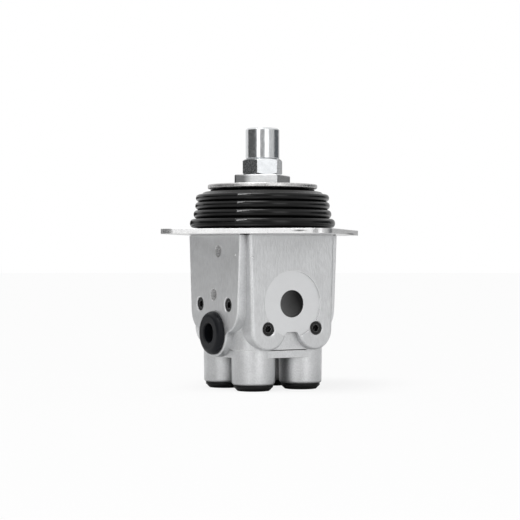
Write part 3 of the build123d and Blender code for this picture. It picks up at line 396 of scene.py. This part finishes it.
# %% Black finishes
boot_rubber = finish(
    "boot_rubber", (grey(0.004), grey(0.002)), (0.16, 0.24), 0.0,
    clouds=0.009, grain=0.0022, stretch=(1, 1, 2.5), lift=0.00001, soft=0.0002, specular=0.24)
# The pale flecks on the flash are partly the torn rubber itself and partly a painted highlight, the
# glint of the scraps painted into the colour.
torn_rubber_and_glint = finish(
    "torn_rubber_and_glint", (grey(0.75), grey(0.03)), (0.25, 0.45), 0.0,
    clouds=0.0016, grain=0.0008, stretch=(1, 1, 2), lift=0.00008, contrast=0.07, soft=0.0001,
    specular=0.5)
seal_rubber = finish(
    "seal_rubber", (grey(0.016), grey(0.009)), (0.42, 0.56), 0.0, grain=0.0004, soft=0.0002,
    specular=0.3)
plug_rubber = finish(
    "plug_rubber", ((0.010, 0.011, 0.014, 1), (0.006, 0.0065, 0.009, 1)), (0.30, 0.42), 0.0,
    clouds=0.008, grain=0.0007, lift=0.00001, worn=grey(0.05), wear=0.4, soft=0.0005, specular=0.16)
cap_plastic = finish(
    "cap_plastic", (grey(0.010), grey(0.005)), (0.36, 0.50), 0.0,
    clouds=0.006, grain=0.0005, lift=0.000012, worn=grey(0.06), wear=0.4, soft=0.0004, specular=0.2)
# Its pale worn edges are partly steel showing through the oxide and partly a painted highlight, the
# glint of the socket rims.
black_oxide = finish(
    "black_oxide", (grey(0.020), grey(0.008)), (0.20, 0.34), 0.5,
    clouds=0.003, grain=0.0003, lift=0.00001, worn=grey(0.42), wear=0.7, soft=0.0002, specular=0.5)
# The tank port plug is paler to one side and darker to the other: painted light and shade, as a dome
# lit from the left would show.
DISH_LIGHT_RAMP_WAY = (-0.64, -0.64, -0.42)
dish_plastic = finish(
    "dish_plastic", (grey(0.15), grey(0.11)), (0.42, 0.52), 0.0,
    clouds=0.006, grain=0.0005, lift=0.000008, worn=grey(0.4), wear=0.6, soft=0.0003, specular=0.15,
    fade=(DISH_LIGHT_RAMP_WAY, 0.0115, 0.0245, 0.03))
print("finishes:", len([material for material in bpy.data.materials if material.use_nodes]))

# %% [markdown]
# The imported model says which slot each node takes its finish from, as the name of the one material
# that it arrives with. Most slots are one finish. A few nodes share a slot but differ on the real
# valve, such as the near mirror tube and the brushed disc, and those are named one by one.

# %% Give each node its finish
FINISH_OF_SLOT = {
    "cast_aluminium": cast_skin, "plated_plate": plated_sheet, "zinc_steel": bright_zinc,
    "steel": turned_steel, "spring_steel": spring_steel, "bronze": bronze,
    "black_rubber": boot_rubber, "seal_rubber": seal_rubber, "black_plastic": cap_plastic,
    "black_screw": black_oxide,
}
FINISH_OF_NODE = {"boot_clamp_disc": blasted_zinc, "adjusting_nut": brushed_zinc,
                  "lock_nut": satin_zinc,
                  "recessed_port_plug": dish_plastic, "side_port_plug": plug_rubber}
for name, node in nodes.items():
    slot = node.data.materials[0].name
    node.data.materials[0] = FINISH_OF_NODE.get(name, FINISH_OF_SLOT[slot])
print({name: node.data.materials[0].name for name,
       node in nodes.items() if "_" in name and "back" not in name})

# %% [markdown]
# Two opposite sides of the square nut get a much darker copy of its zinc. That is painted shade,
# for the side on the camera's right that stands in shade. Its faces are sorted by the way they
# look, in the lever's own frame.

# %% The square nut's sides with painted shade
SHADED_SIDE_WAY = radians(-3.4)
SQUARE_ON = 0.97
nut = nodes["adjusting_nut"]
nut.data.materials.append(shaded_side_zinc)
shaded_side_look = Vector((cos(SHADED_SIDE_WAY), sin(SHADED_SIDE_WAY), 0.0))
for face in nut.data.polygons:
    if abs(face.normal.dot(shaded_side_look)) > SQUARE_ON:
        face.material_index = 1
shaded_side_faces = [face for face in nut.data.polygons if face.material_index == 1]
print("painted shade faces:", len(shaded_side_faces), "of", len(nut.data.polygons))

# %% [markdown]
# The body is one casting with three finishes, so its faces are sorted by where they lie. A face
# whose middle is on one of the four machined planes is linished. The plane is the farthest that
# the body reaches from the axis along the 45 degree lines, which the mesh itself tells.

# %% Sort the body's faces by finish
body = nodes["valve_body"]
AROUND = [radians(45 + 90 * quarter) for quarter in range(4)]
OUTWARD = [Vector((cos(angle), sin(angle), 0.0)) for angle in AROUND]
face_reach = max(corner.co.dot(OUTWARD[3]) for corner in body.data.vertices)
SPOT_SUNK = 1.0 * MM
PLANE_SLACK = 0.1 * MM
FLAT_ON = 0.99
HOLE_FACE = OUTWARD[2]
HOLE_SIDE = Vector((-HOLE_FACE.y, HOLE_FACE.x, 0.0))
BLIND_HOLES = [(5.5 * MM, -10.3 * MM), (0.0, -36.7 * MM)]
BLIND_HOLE_RADIUS = 3.9 * MM
BLIND_HOLE_LONGEST = 10 * MM
for extra in (linished_aluminium, milled_aluminium, bored_aluminium):
    body.data.materials.append(extra)
sorted_faces = [0, 0, 0, 0]
for face in body.data.polygons:
    reach = max(face.center.dot(way) for way in OUTWARD)
    flat = max(face.normal.dot(way) for way in OUTWARD)
    across = face.center.dot(HOLE_SIDE)
    near_hole = min(hypot(across - side, face.center.z - height) for side, height in BLIND_HOLES)
    index = 0
    sunk = face_reach - face.center.dot(HOLE_FACE)
    if near_hole < BLIND_HOLE_RADIUS and PLANE_SLACK < sunk < BLIND_HOLE_LONGEST:
        index = 3
    elif flat > FLAT_ON and reach > face_reach - PLANE_SLACK:
        index = 1
    elif flat > FLAT_ON and reach > face_reach - SPOT_SUNK - PLANE_SLACK:
        index = 2
    face.material_index = index
    sorted_faces[index] += 1
print("body faces as cast, linished, milled, bored:", sorted_faces, "reach",
      round(face_reach / MM, 2))

# %% [markdown]
# The boot is a bellows of moulded rubber. Its foot lies on the plate, four round folds rise from
# it, and a lip closes under the disc. A lathe form is a profile turned round an axis, so the
# profile is worked out as arcs for the folds, and bmesh turns it in many steps. A Hook modifier
# then carries the top with the lever while the foot stays, as rubber does when the lever tilts.

# %% The boot's measures
plate_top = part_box("mounting_plate")[1].z
boot_low, boot_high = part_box("boot")
FOLD_REACH = [45.1, 42.8, 41.8, 41.4]        # mm from the axis to each fold, from the lowest up
FOLD_HEIGHT = [7.1, 12.7, 18.0, 22.75]       # mm above the plate's underside
NECK_HEIGHT = [4.2, 9.9, 15.35, 20.4, 25.1]  # where each fold ends and the next begins
NECK_DEPTH = 3.4
FOLD_FULLNESS = 0.62                         # 1 would be a plain half ellipse
FOOT_RADIUS = 40.0
SHOULDER_RADIUS = 35.0
TUCK_RADIUS = 32.4                           # inside the disc's edge, where the two meet
SHADOW_GAP = 1.3
LIP_RADIUS = 17.2
WALL = 1.2
foot_bottom = boot_low.z / MM
lip_top = boot_high.z / MM
print("the plate's top is at", round(plate_top / MM, 2), "mm")
print("boot from", round(foot_bottom, 2), "to", round(lip_top, 2), "mm, four folds, widest",
      FOLD_REACH[0])

# %% The profile: round folds outside, a plainer skin inside
def fold_arc(reach, low, high, depth, steps=11):
    """Points of one fold between its two necks, fuller than a half circle, as rubber folds are."""
    points = []
    for step in range(steps):
        turn = pi * (step / (steps - 1) - 0.5)
        out = depth * max(cos(turn), 0.0) ** FOLD_FULLNESS
        points.append((reach - depth + out, low + (high - low) * (sin(turn) + 1) / 2))
    return points


outer = [(FOOT_RADIUS - 0.3, foot_bottom), (FOOT_RADIUS, foot_bottom + 0.3),
         (FOOT_RADIUS, foot_bottom + 0.9)]
inner = [(FOOT_RADIUS - 5.0, foot_bottom), (FOOT_RADIUS - 5.0, foot_bottom + 1.5)]
for index, reach in enumerate(FOLD_REACH):
    outer += fold_arc(reach, NECK_HEIGHT[index], NECK_HEIGHT[index + 1], NECK_DEPTH)
    inner += [(reach - NECK_DEPTH - WALL, NECK_HEIGHT[index] + 0.2),
              (reach - WALL, FOLD_HEIGHT[index])]
shoulder_top = lip_top - SHADOW_GAP
outer += [(FOLD_REACH[3] - NECK_DEPTH - 0.6, shoulder_top - 1.3),
          (SHOULDER_RADIUS + 1.6, shoulder_top - 0.5),
          (SHOULDER_RADIUS, shoulder_top - 0.1), (TUCK_RADIUS + 0.6, shoulder_top),
          (TUCK_RADIUS, shoulder_top + 0.3),
          (TUCK_RADIUS - 0.2, lip_top - 0.1), (LIP_RADIUS + 0.5, lip_top - 0.1),
          (LIP_RADIUS, lip_top - 0.6)]
inner += [(FOLD_REACH[3] - NECK_DEPTH - WALL, NECK_HEIGHT[4] - 0.2),
          (TUCK_RADIUS - 1.0, lip_top - 2.4),
          (TUCK_RADIUS - 2.0, lip_top - 1.4), (LIP_RADIUS, lip_top - 1.4)]
profile = outer + inner[::-1]
print("profile points:", len(profile))

# %% A helper that puts a finished shape in the scene
def to_object(name, shape):
    """A new object in the scene with the shape as its mesh. The bmesh is freed."""
    mesh = bpy.data.meshes.new(name)
    shape.to_mesh(mesh)
    shape.free()
    made = bpy.data.objects.new(name, mesh)
    bpy.context.scene.collection.objects.link(made)
    return made

# %% Turn the profile, with a fine seam where the two halves of the mould met
def lathe(name, profile, angles, swell=lambda angle: 0.0):
    """A closed profile of (radius, height) in mm, turned round the Z axis."""
    shape = bmesh.new()
    rings = []
    for angle in angles:
        grow = swell(angle)
        rings.append([shape.verts.new(((radius + grow) * MM * cos(angle),
                                       (radius + grow) * MM * sin(angle),
                                       height * MM)) for radius, height in profile])
    for ring, following in zip(rings, rings[1:] + rings[:1]):
        for index in range(len(profile)):
            after = (index + 1) % len(profile)
            shape.faces.new((ring[index], following[index], following[after],
                             ring[after])).smooth = True
    bmesh.ops.recalc_face_normals(shape, faces=shape.faces)
    return to_object(name, shape)


SEAM_ANGLES = (-98, 82)
SEAM_RISE = 0.16
SEAM_HALF_WIDTH = 0.5   # degrees
TURN_STEPS = 144
steps = [360 * step / TURN_STEPS - 180 for step in range(TURN_STEPS)]
near_seam = [seam + offset for seam in SEAM_ANGLES for offset in (-0.7, -0.35, 0.35, 0.7)]
around = sorted(radians(angle) for angle in steps + near_seam)


def seam_swell(angle):
    """How far the seam stands proud at an angle: full on the parting line, nothing beside it."""
    away = min(abs(degrees(angle) - seam) for seam in SEAM_ANGLES)
    return SEAM_RISE * max(0.0, 1 - away / SEAM_HALF_WIDTH)


boot = lathe("bellows_boot", profile, around, seam_swell)
boot.data.materials.append(boot_rubber)
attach(boot, "root")
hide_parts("boot")
print("boot faces:", len(boot.data.polygons))

# %% Let the boot's top follow the lever
HELD_BELOW = 4.6 * MM
FREE_ABOVE = 26.5 * MM


def follow_the_lever(piece):
    """Hooks a soft piece to the lever: not at all at the plate, and fully at the disc."""
    follow = piece.vertex_groups.new(name="follows_lever")
    for corner in piece.data.vertices:
        share = (corner.co.z - HELD_BELOW) / (FREE_ABOVE - HELD_BELOW)
        follow.add([corner.index], min(max(share, 0.0), 1.0), "REPLACE")
    hook = piece.modifiers.new("follow_lever", "HOOK")
    hook.object = frame["bodies"]["lever"]
    hook.vertex_group = follow.name
    hook.strength = 1.0


follow_the_lever(boot)
print("hooked points:", sum(1 for corner in boot.data.vertices if corner.co.z > HELD_BELOW))

# %% [markdown]
# Beside the seam each fold carries a torn scrap of flash, the thin rubber that squeezed out where
# the mould halves met. It is a small ragged patch on the upper half of the fold. Each patch is a
# grid of points laid on the fold's own arc and pushed out a little by a seeded random amount.

# %% Scraps of flash beside the seam
FLASH_SPANS = [(-97.0, -88.3), (-97.7, -86.8), (-97.7, -91.5),
               (-97.7, -86.5)]   # degrees, lowest fold first
FLASH_TURNS = (0.15, 0.75)
FLASH_RISE = 0.45
FLASH_ROOT = 0.5
FLASH_TUCK = 0.1        # how far the rim lies inside the fold
FLASH_SLANT = 0.5
FLASH_HEIGHT = 0.8
FLASH_TAPER = 0.75
draw = Random(11)


def flash_scrap(index, columns=12, rows=6):
    """Two grids of points for one scrap: ragged ones raised on the fold, and ones inside it."""
    low, high = NECK_HEIGHT[index], NECK_HEIGHT[index + 1]
    start, end = FLASH_SPANS[index]
    skins = []
    for skin in ("outside", "inside"):
        grid = []
        for column in range(columns):
            along = column / (columns - 1)
            angle = radians(start + (end - start) * along)
            narrow = 1 - FLASH_TAPER * along
            line = []
            for row in range(rows):
                up = row / (rows - 1)
                share = FLASH_SLANT * along + up * narrow * FLASH_HEIGHT
                turn = FLASH_TURNS[0] + (FLASH_TURNS[1] - FLASH_TURNS[0]) * share
                radius = FOLD_REACH[index] - NECK_DEPTH + NECK_DEPTH * cos(turn) ** FOLD_FULLNESS
                rim = min(column, columns - 1 - column, row, rows - 1 - row) == 0
                if skin == "inside":
                    radius += -FLASH_ROOT
                else:
                    radius += -FLASH_TUCK if rim else FLASH_RISE * draw.random()
                height = low + (high - low) * (sin(turn) + 1) / 2
                line.append((radius * MM * cos(angle), radius * MM * sin(angle), height * MM))
            grid.append(line)
        skins.append(grid)
    return skins


flash_shape = bmesh.new()
for index in range(len(FOLD_REACH)):
    outside, inside = [[[flash_shape.verts.new(point) for point in line] for line in grid]
                       for grid in flash_scrap(index)]
    for grid in (outside, inside):
        for line, following in zip(grid, grid[1:]):
            for a, b, c, d in zip(line, line[1:], following[1:], following):
                flash_shape.faces.new((a, b, c, d))
    rims = []
    for grid in (outside, inside):
        there, back = [line[0] for line in grid], [line[-1] for line in grid[-2::-1]]
        rims.append(there + grid[-1][1:] + back + grid[0][-2:0:-1])
    for here in range(len(rims[0])):
        after = (here + 1) % len(rims[0])
        flash_shape.faces.new((rims[0][here], rims[0][after], rims[1][after], rims[1][here]))
bmesh.ops.recalc_face_normals(flash_shape, faces=flash_shape.faces)
flash = to_object("boot_flash", flash_shape)
flash.data.materials.append(torn_rubber_and_glint)
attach(flash, "root")
follow_the_lever(flash)
print("flash scraps:", len(FOLD_REACH), "faces:", len(flash.data.polygons))

# %% [markdown]
# Under its four port bosses the casting ends in a low foot, parted from the faces by a fine dark
# line. In the model that foot is a tapered floor. The real one stands nearly upright and catches
# the light, so an open band is laid round the taper, in the same cast skin.

# %% The casting's foot
CORE_HALF = 30.5 * MM
FOOT_INSET = 0.4 * MM
FOOT_TOP = -70.35 * MM
FOOT_BOTTOM = -74.75 * MM
FOOT_CORNER = 13.1 * MM
FOOT_WALL = 2.8 * MM
CORNER_STEPS = 16


def rounded_square(half, corner, turned, steps):
    """Points round a square with round corners, turned by so many degrees."""
    points = []
    for quarter in range(4):
        middle = Vector((half - corner, half - corner))
        for step in range(steps + 1):
            angle = radians(90 * step / steps)
            point = middle + Vector((corner * cos(angle), corner * sin(angle)))
            turn = radians(90 * quarter + turned)
            points.append((point.x * cos(turn) - point.y * sin(turn),
                           point.x * sin(turn) + point.y * cos(turn)))
    return points


foot_shape = bmesh.new()
outline = rounded_square(CORE_HALF - FOOT_INSET, FOOT_CORNER, 45, CORNER_STEPS)
inline = rounded_square(CORE_HALF - FOOT_INSET - FOOT_WALL, FOOT_CORNER - FOOT_WALL, 45,
                        CORNER_STEPS)
section = [(outline, FOOT_TOP), (outline, FOOT_BOTTOM), (inline, FOOT_BOTTOM), (inline, FOOT_TOP)]
rows = [[foot_shape.verts.new((x, y, height)) for x, y in points] for points, height in section]
for row, below in zip(rows, rows[1:] + rows[:1]):
    for here in range(len(outline)):
        after = (here + 1) % len(outline)
        foot_shape.faces.new((row[here], row[after], below[after], below[here]))
bmesh.ops.recalc_face_normals(foot_shape, faces=foot_shape.faces)
foot = to_object("core_foot", foot_shape)
foot.data.materials.append(cast_skin)
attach(foot, "root")
print("foot from", round(FOOT_TOP / MM, 2), "to", round(FOOT_BOTTOM / MM, 2), "mm")

# %% [markdown]
# Inside, each plunger presses a large return spring, and a small metering spring that stands on the
# spool. They get shorter as the plunger goes down. Here each spring is only given a mesh of its
# own, and nothing makes it shorten.

# %% Give each spring a mesh of its own
PLUNGER_STROKE = 8.4 * MM
SPOOL_STROKE = 1.5 * MM
for side in ("right", "back", "left", "front"):
    for kind, stroke in (("return", PLUNGER_STROKE), ("metering", PLUNGER_STROKE - SPOOL_STROKE)):
        spring = nodes[f"{kind}_spring_{side}"]
        low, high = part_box(f"{kind}_spring_{side}")
        middle = ((low.x + high.x) / 2, (low.y + high.y) / 2, low.z)
        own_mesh(spring)

# %% [markdown]
# A die leaves small flaws where it is chipped or vented. One shows as a bright nub on the rim of
# the tank port's face, and a fainter one stands on the shield face near its right edge.

# %% Casting nubs
TANK_SIDE = Vector((-OUTWARD[3].y, OUTWARD[3].x, 0.0))
# each nub's middle, height and radius
NUBS = [(OUTWARD[3] * (face_reach - 0.5 * MM) - TANK_SIDE * 28.4 * MM, -14.2 * MM, 1.1 * MM),
        (OUTWARD[2] * (face_reach - 0.35 * MM) + HOLE_SIDE * 26.3 * MM, -12.6 * MM, 0.75 * MM)]
nub_shape = bmesh.new()
for middle, height, radius in NUBS:
    ball = bmesh.ops.create_icosphere(nub_shape, subdivisions=3, radius=radius)
    bmesh.ops.translate(nub_shape, verts=ball["verts"], vec=middle + Vector((0, 0, height)))
for side in nub_shape.faces:
    side.smooth = True
nubs = to_object("casting_nubs", nub_shape)
nubs.data.materials.append(milled_aluminium)
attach(nubs, "root")
print("casting nubs:", len(NUBS))

# %% [markdown]
# The handle screws into the tube on top, and its thread shows from above. A thread is one groove
# that climbs as it goes round, so a small triangle is swept along a helix inside the bore. It is
# a piece of its own that rides on the lever, since the bore in the model is plain.

# %% The handle's thread
tube_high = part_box("handle_connector")[1]
THREAD_RADIUS = 6.17 * MM
THREAD_RISE = 0.75 * MM
THREAD_PITCH = 1.5 * MM
THREAD_TURNS = 6
THREAD_START = 1.6 * MM   # below the tube's rim
STEPS_A_TURN = 36
ROOT_HALF = 0.42          # half widths of the ridge, in pitches
CREST_HALF = 0.06
FADE_STEPS = 9
FADE_LEAST = 0.02


def sweep_thread(name, radius, rise, pitch, turns, top):
    """A triangular ridge that winds down the inside of a bore, and fades in and out at its ends."""
    shape = bmesh.new()
    rows = []
    count = int(turns * STEPS_A_TURN)
    for step in range(count + 1):
        angle = 2 * pi * step / STEPS_A_TURN
        middle = top - pitch * step / STEPS_A_TURN
        fade = min(1.0, step / FADE_STEPS + FADE_LEAST, (count - step) / FADE_STEPS + FADE_LEAST)
        crest = rise * fade
        row = []
        for reach, lift in ((0, ROOT_HALF), (crest, CREST_HALF), (crest, -CREST_HALF),
                            (0, -ROOT_HALF)):
            out = radius - reach
            row.append(shape.verts.new((out * cos(angle), out * sin(angle), middle + lift * pitch)))
        rows.append(row)
    for row, following in zip(rows, rows[1:]):
        for index in range(4):
            after = (index + 1) % 4
            shape.faces.new((row[index], row[after], following[after], following[index]))
    shape.faces.new(rows[0])
    shape.faces.new(rows[-1][::-1])
    bmesh.ops.recalc_face_normals(shape, faces=shape.faces)
    return to_object(name, shape)


thread = sweep_thread("handle_thread", THREAD_RADIUS, THREAD_RISE, THREAD_PITCH, THREAD_TURNS,
                      tube_high.z - THREAD_START)
thread.data.materials.append(turned_steel)
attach(thread, "lever")
print("thread turns:", THREAD_TURNS, "faces:", len(thread.data.polygons))

# %% [markdown]
# The valve stands on a pale floor in a white room. The floor is a plain diffuse surface, which
# keeps the soft shadow. For rays that come straight from the camera, or bounce off metal, most of
# it is plain white, and so is the world. That gives a white ground without a brighter lamp.

# %% A share of white for camera, gloss and glass rays
def shown_rays(tree):
    """1 for rays from the camera and for reflected and transmitted ones, and 0 for the rest."""
    path = add(tree, "LightPath")
    seen = calculate(tree, "MAXIMUM", path.outputs["Is Camera Ray"], path.outputs["Is Glossy Ray"])
    return calculate(tree, "MAXIMUM", seen, path.outputs["Is Transmission Ray"])


# %% The floor
FLOOR_RADIUS = 9.0
FLOOR_WHITE_SHARE = 0.8
SHADED_RADIUS = 0.05
FLOOR_GREY = 0.8
FLOOR_GLOW = 1.04
FLOOR_GAP = 0.05 * MM
floor_shape = bmesh.new()
bmesh.ops.create_circle(floor_shape, cap_ends=True, radius=FLOOR_RADIUS, segments=96)
floor = to_object("studio_floor", floor_shape)
floor.location.z = cad_box[0][2] - FLOOR_GAP
floor_paint = bpy.data.materials.new("studio_floor")
floor_paint.use_nodes = True
tree = floor_paint.node_tree
tree.nodes.clear()
matte = add(tree, "BsdfDiffuse", {"Color": grey(FLOOR_GREY)})
white = add(tree, "Emission", {"Color": grey(1.0), "Strength": FLOOR_GLOW})
spot = add(tree, "TexCoord").outputs["Object"]
from_axis = add(tree, "VectorMath", {0: spot}, operation="LENGTH").outputs["Value"]
clear_of_valve = remap(tree, from_axis, SHADED_RADIUS, SHADED_RADIUS * 3)
straight = add(tree, "LightPath").outputs["Is Camera Ray"]
lit = calculate(tree, "MAXIMUM", clear_of_valve, straight)
share = calculate(tree, "MULTIPLY", shown_rays(tree), FLOOR_WHITE_SHARE)
share = calculate(tree, "MULTIPLY", share, lit)
both = add(tree, "MixShader", {0: share, 1: matte.outputs[0], 2: white.outputs[0]})
add(tree, "OutputMaterial", {"Surface": both.outputs[0]})
floor.data.materials.append(floor_paint)
print("floor height in mm:", round(floor.location.z / MM, 2))

# %% The world
ROOM_LIGHT = 0.42
world = bpy.data.worlds.new("white_room")
bpy.context.scene.world = world
world.use_nodes = True
tree = world.node_tree
tree.nodes.clear()
strength = remap(tree, shown_rays(tree), 0.0, 1.0, ROOM_LIGHT, 1.0)
sky = add(tree, "Background", {"Color": grey(1.0), "Strength": strength})
add(tree, "OutputWorld", {"Surface": sky.outputs[0]})

# %% [markdown]
# Bright metal shows its surroundings, so the surroundings are what gets lit. A photographer puts
# tall soft boxes where a highlight should run down a tube, and black boards beside them where the
# metal should go dark. The boards here are curved strips that only reflections see. Directions
# are given from the camera's own direction, with right as positive.

# %% Where the camera stands
TURN_TO_CAMERA = 13.5
camera_angle = radians(TURN_TO_CAMERA - 90)
toward_camera = Vector((cos(camera_angle), sin(camera_angle), 0.0))
camera_right = Vector((-toward_camera.y, toward_camera.x, 0.0))


def round_the_valve(degrees_right, distance, height):
    """A point that far to the right of the camera's direction, seen from the valve's axis."""
    angle = camera_angle + radians(degrees_right)
    return Vector((distance * cos(angle), distance * sin(angle), height))

# %% Soft boxes and the overhead light
def soft_box(name, degrees_right, distance, low, high, width, power):
    """A tall rectangular lamp that faces the axis and that only its light and reflections show."""
    lamp = bpy.data.lights.new(name, "AREA")
    lamp.shape = "RECTANGLE"
    lamp.size = width
    lamp.size_y = high - low
    lamp.energy = power
    box = bpy.data.objects.new(name, lamp)
    box.location = round_the_valve(degrees_right, distance, (low + high) / 2)
    aim = Vector((0.0, 0.0, box.location.z)) - box.location
    box.rotation_euler = aim.to_track_quat("-Z", "Y").to_euler()
    box.visible_camera = False
    bpy.context.scene.collection.objects.link(box)


BOX_DISTANCE = 1.3
BOX_LOW, BOX_HIGH = -0.09, 0.75
SOFT_BOXES = [("left_soft_box", -27.5, 0.42, 1.35), ("right_soft_box", 28.8, 0.54, 1.8)]
for name, degrees_right, width, power in SOFT_BOXES:
    soft_box(name, degrees_right, BOX_DISTANCE, BOX_LOW, BOX_HIGH, width, power)
OVERHEAD_POWER = 1.5
OVERHEAD_SPREAD = 30
OVERHEAD_TILT = (radians(16), radians(-8), 0)
overhead = bpy.data.lights.new("overhead_light", "SUN")
overhead.energy = OVERHEAD_POWER
overhead.angle = radians(OVERHEAD_SPREAD)
overhead_lamp = bpy.data.objects.new("overhead_light", overhead)
overhead_lamp.rotation_euler = OVERHEAD_TILT
bpy.context.scene.collection.objects.link(overhead_lamp)

# %% Boards that only reflections see
def reflection_board(name, start, end, low, high, shade, distance=1.5, steps=14):
    """A strip of a cylinder round the valve, from start to end degrees right of the camera."""
    shape = bmesh.new()
    rows = []
    for step in range(steps + 1):
        turn = start + (end - start) * step / steps
        rows.append([shape.verts.new(round_the_valve(turn, distance, height)) for height in (low,
                                                                                             high)])
    for row, following in zip(rows, rows[1:]):
        shape.faces.new((row[0], following[0], following[1], row[1]))
    board = to_object(name, shape)
    paint = bpy.data.materials.new(name)
    paint.use_nodes = True
    tree = paint.node_tree
    tree.nodes.clear()
    glow = add(tree, "Emission", {"Color": shade, "Strength": 1.0})
    add(tree, "OutputMaterial", {"Surface": glow.outputs[0]})
    board.data.materials.append(paint)
    board.visible_camera = False
    board.visible_diffuse = False
    board.visible_shadow = False
    board.visible_transmission = False
    return board


BOARDS = [
    ("black_board_left", -120, -39, 0.50, grey(0.07)),
    ("grey_board_back_left", -140, -120, 0.50, grey(0.55)),
    ("black_board_back_left", -168, -140, 0.50, grey(0.03)),
    ("grey_board_camera", -18, 16, 0.45, grey(0.36)),
    ("grey_board_right", 41, 86, 0.50, grey(0.66)),
    ("black_board_right", 86, 136, 0.50, grey(0.10, -0.08)),
    ("grey_board_back_right", 136, 172, 0.50, grey(0.62)),
]
for name, start, end, high, shade in BOARDS:
    reflection_board(name, start, end, floor.location.z, high, shade)
reflection_board("tube_card_left", -165, -112, 0.035, 0.10, grey(0.9), distance=0.16)
print("boards:", [board[0] for board in BOARDS], "and a card beside the tube")

# %% [markdown]
# The camera stands level with the middle of the valve and a metre away, with a long lens, so that
# upright edges stay upright and the plate shows as a thin edge.

# %% The camera
CAMERA_DISTANCE = 1.0
CAMERA_HEIGHT = -15.6 * MM
CAMERA_LEFT = 1.55 * MM
LENS_LENGTH = 111.4
SENSOR_WIDTH = 36.0
lens = bpy.data.cameras.new("front_camera")
lens.lens = LENS_LENGTH
lens.sensor_width = SENSOR_WIDTH
camera = bpy.data.objects.new("front_camera", lens)
camera.location = toward_camera * CAMERA_DISTANCE - camera_right * CAMERA_LEFT
camera.location.z = CAMERA_HEIGHT
camera.rotation_euler = (radians(90), 0, radians(TURN_TO_CAMERA))
bpy.context.scene.collection.objects.link(camera)
bpy.context.scene.camera = camera
bpy.context.scene.view_settings.view_transform = "Standard"
print("camera at", [round(value, 3) for value in camera.location])
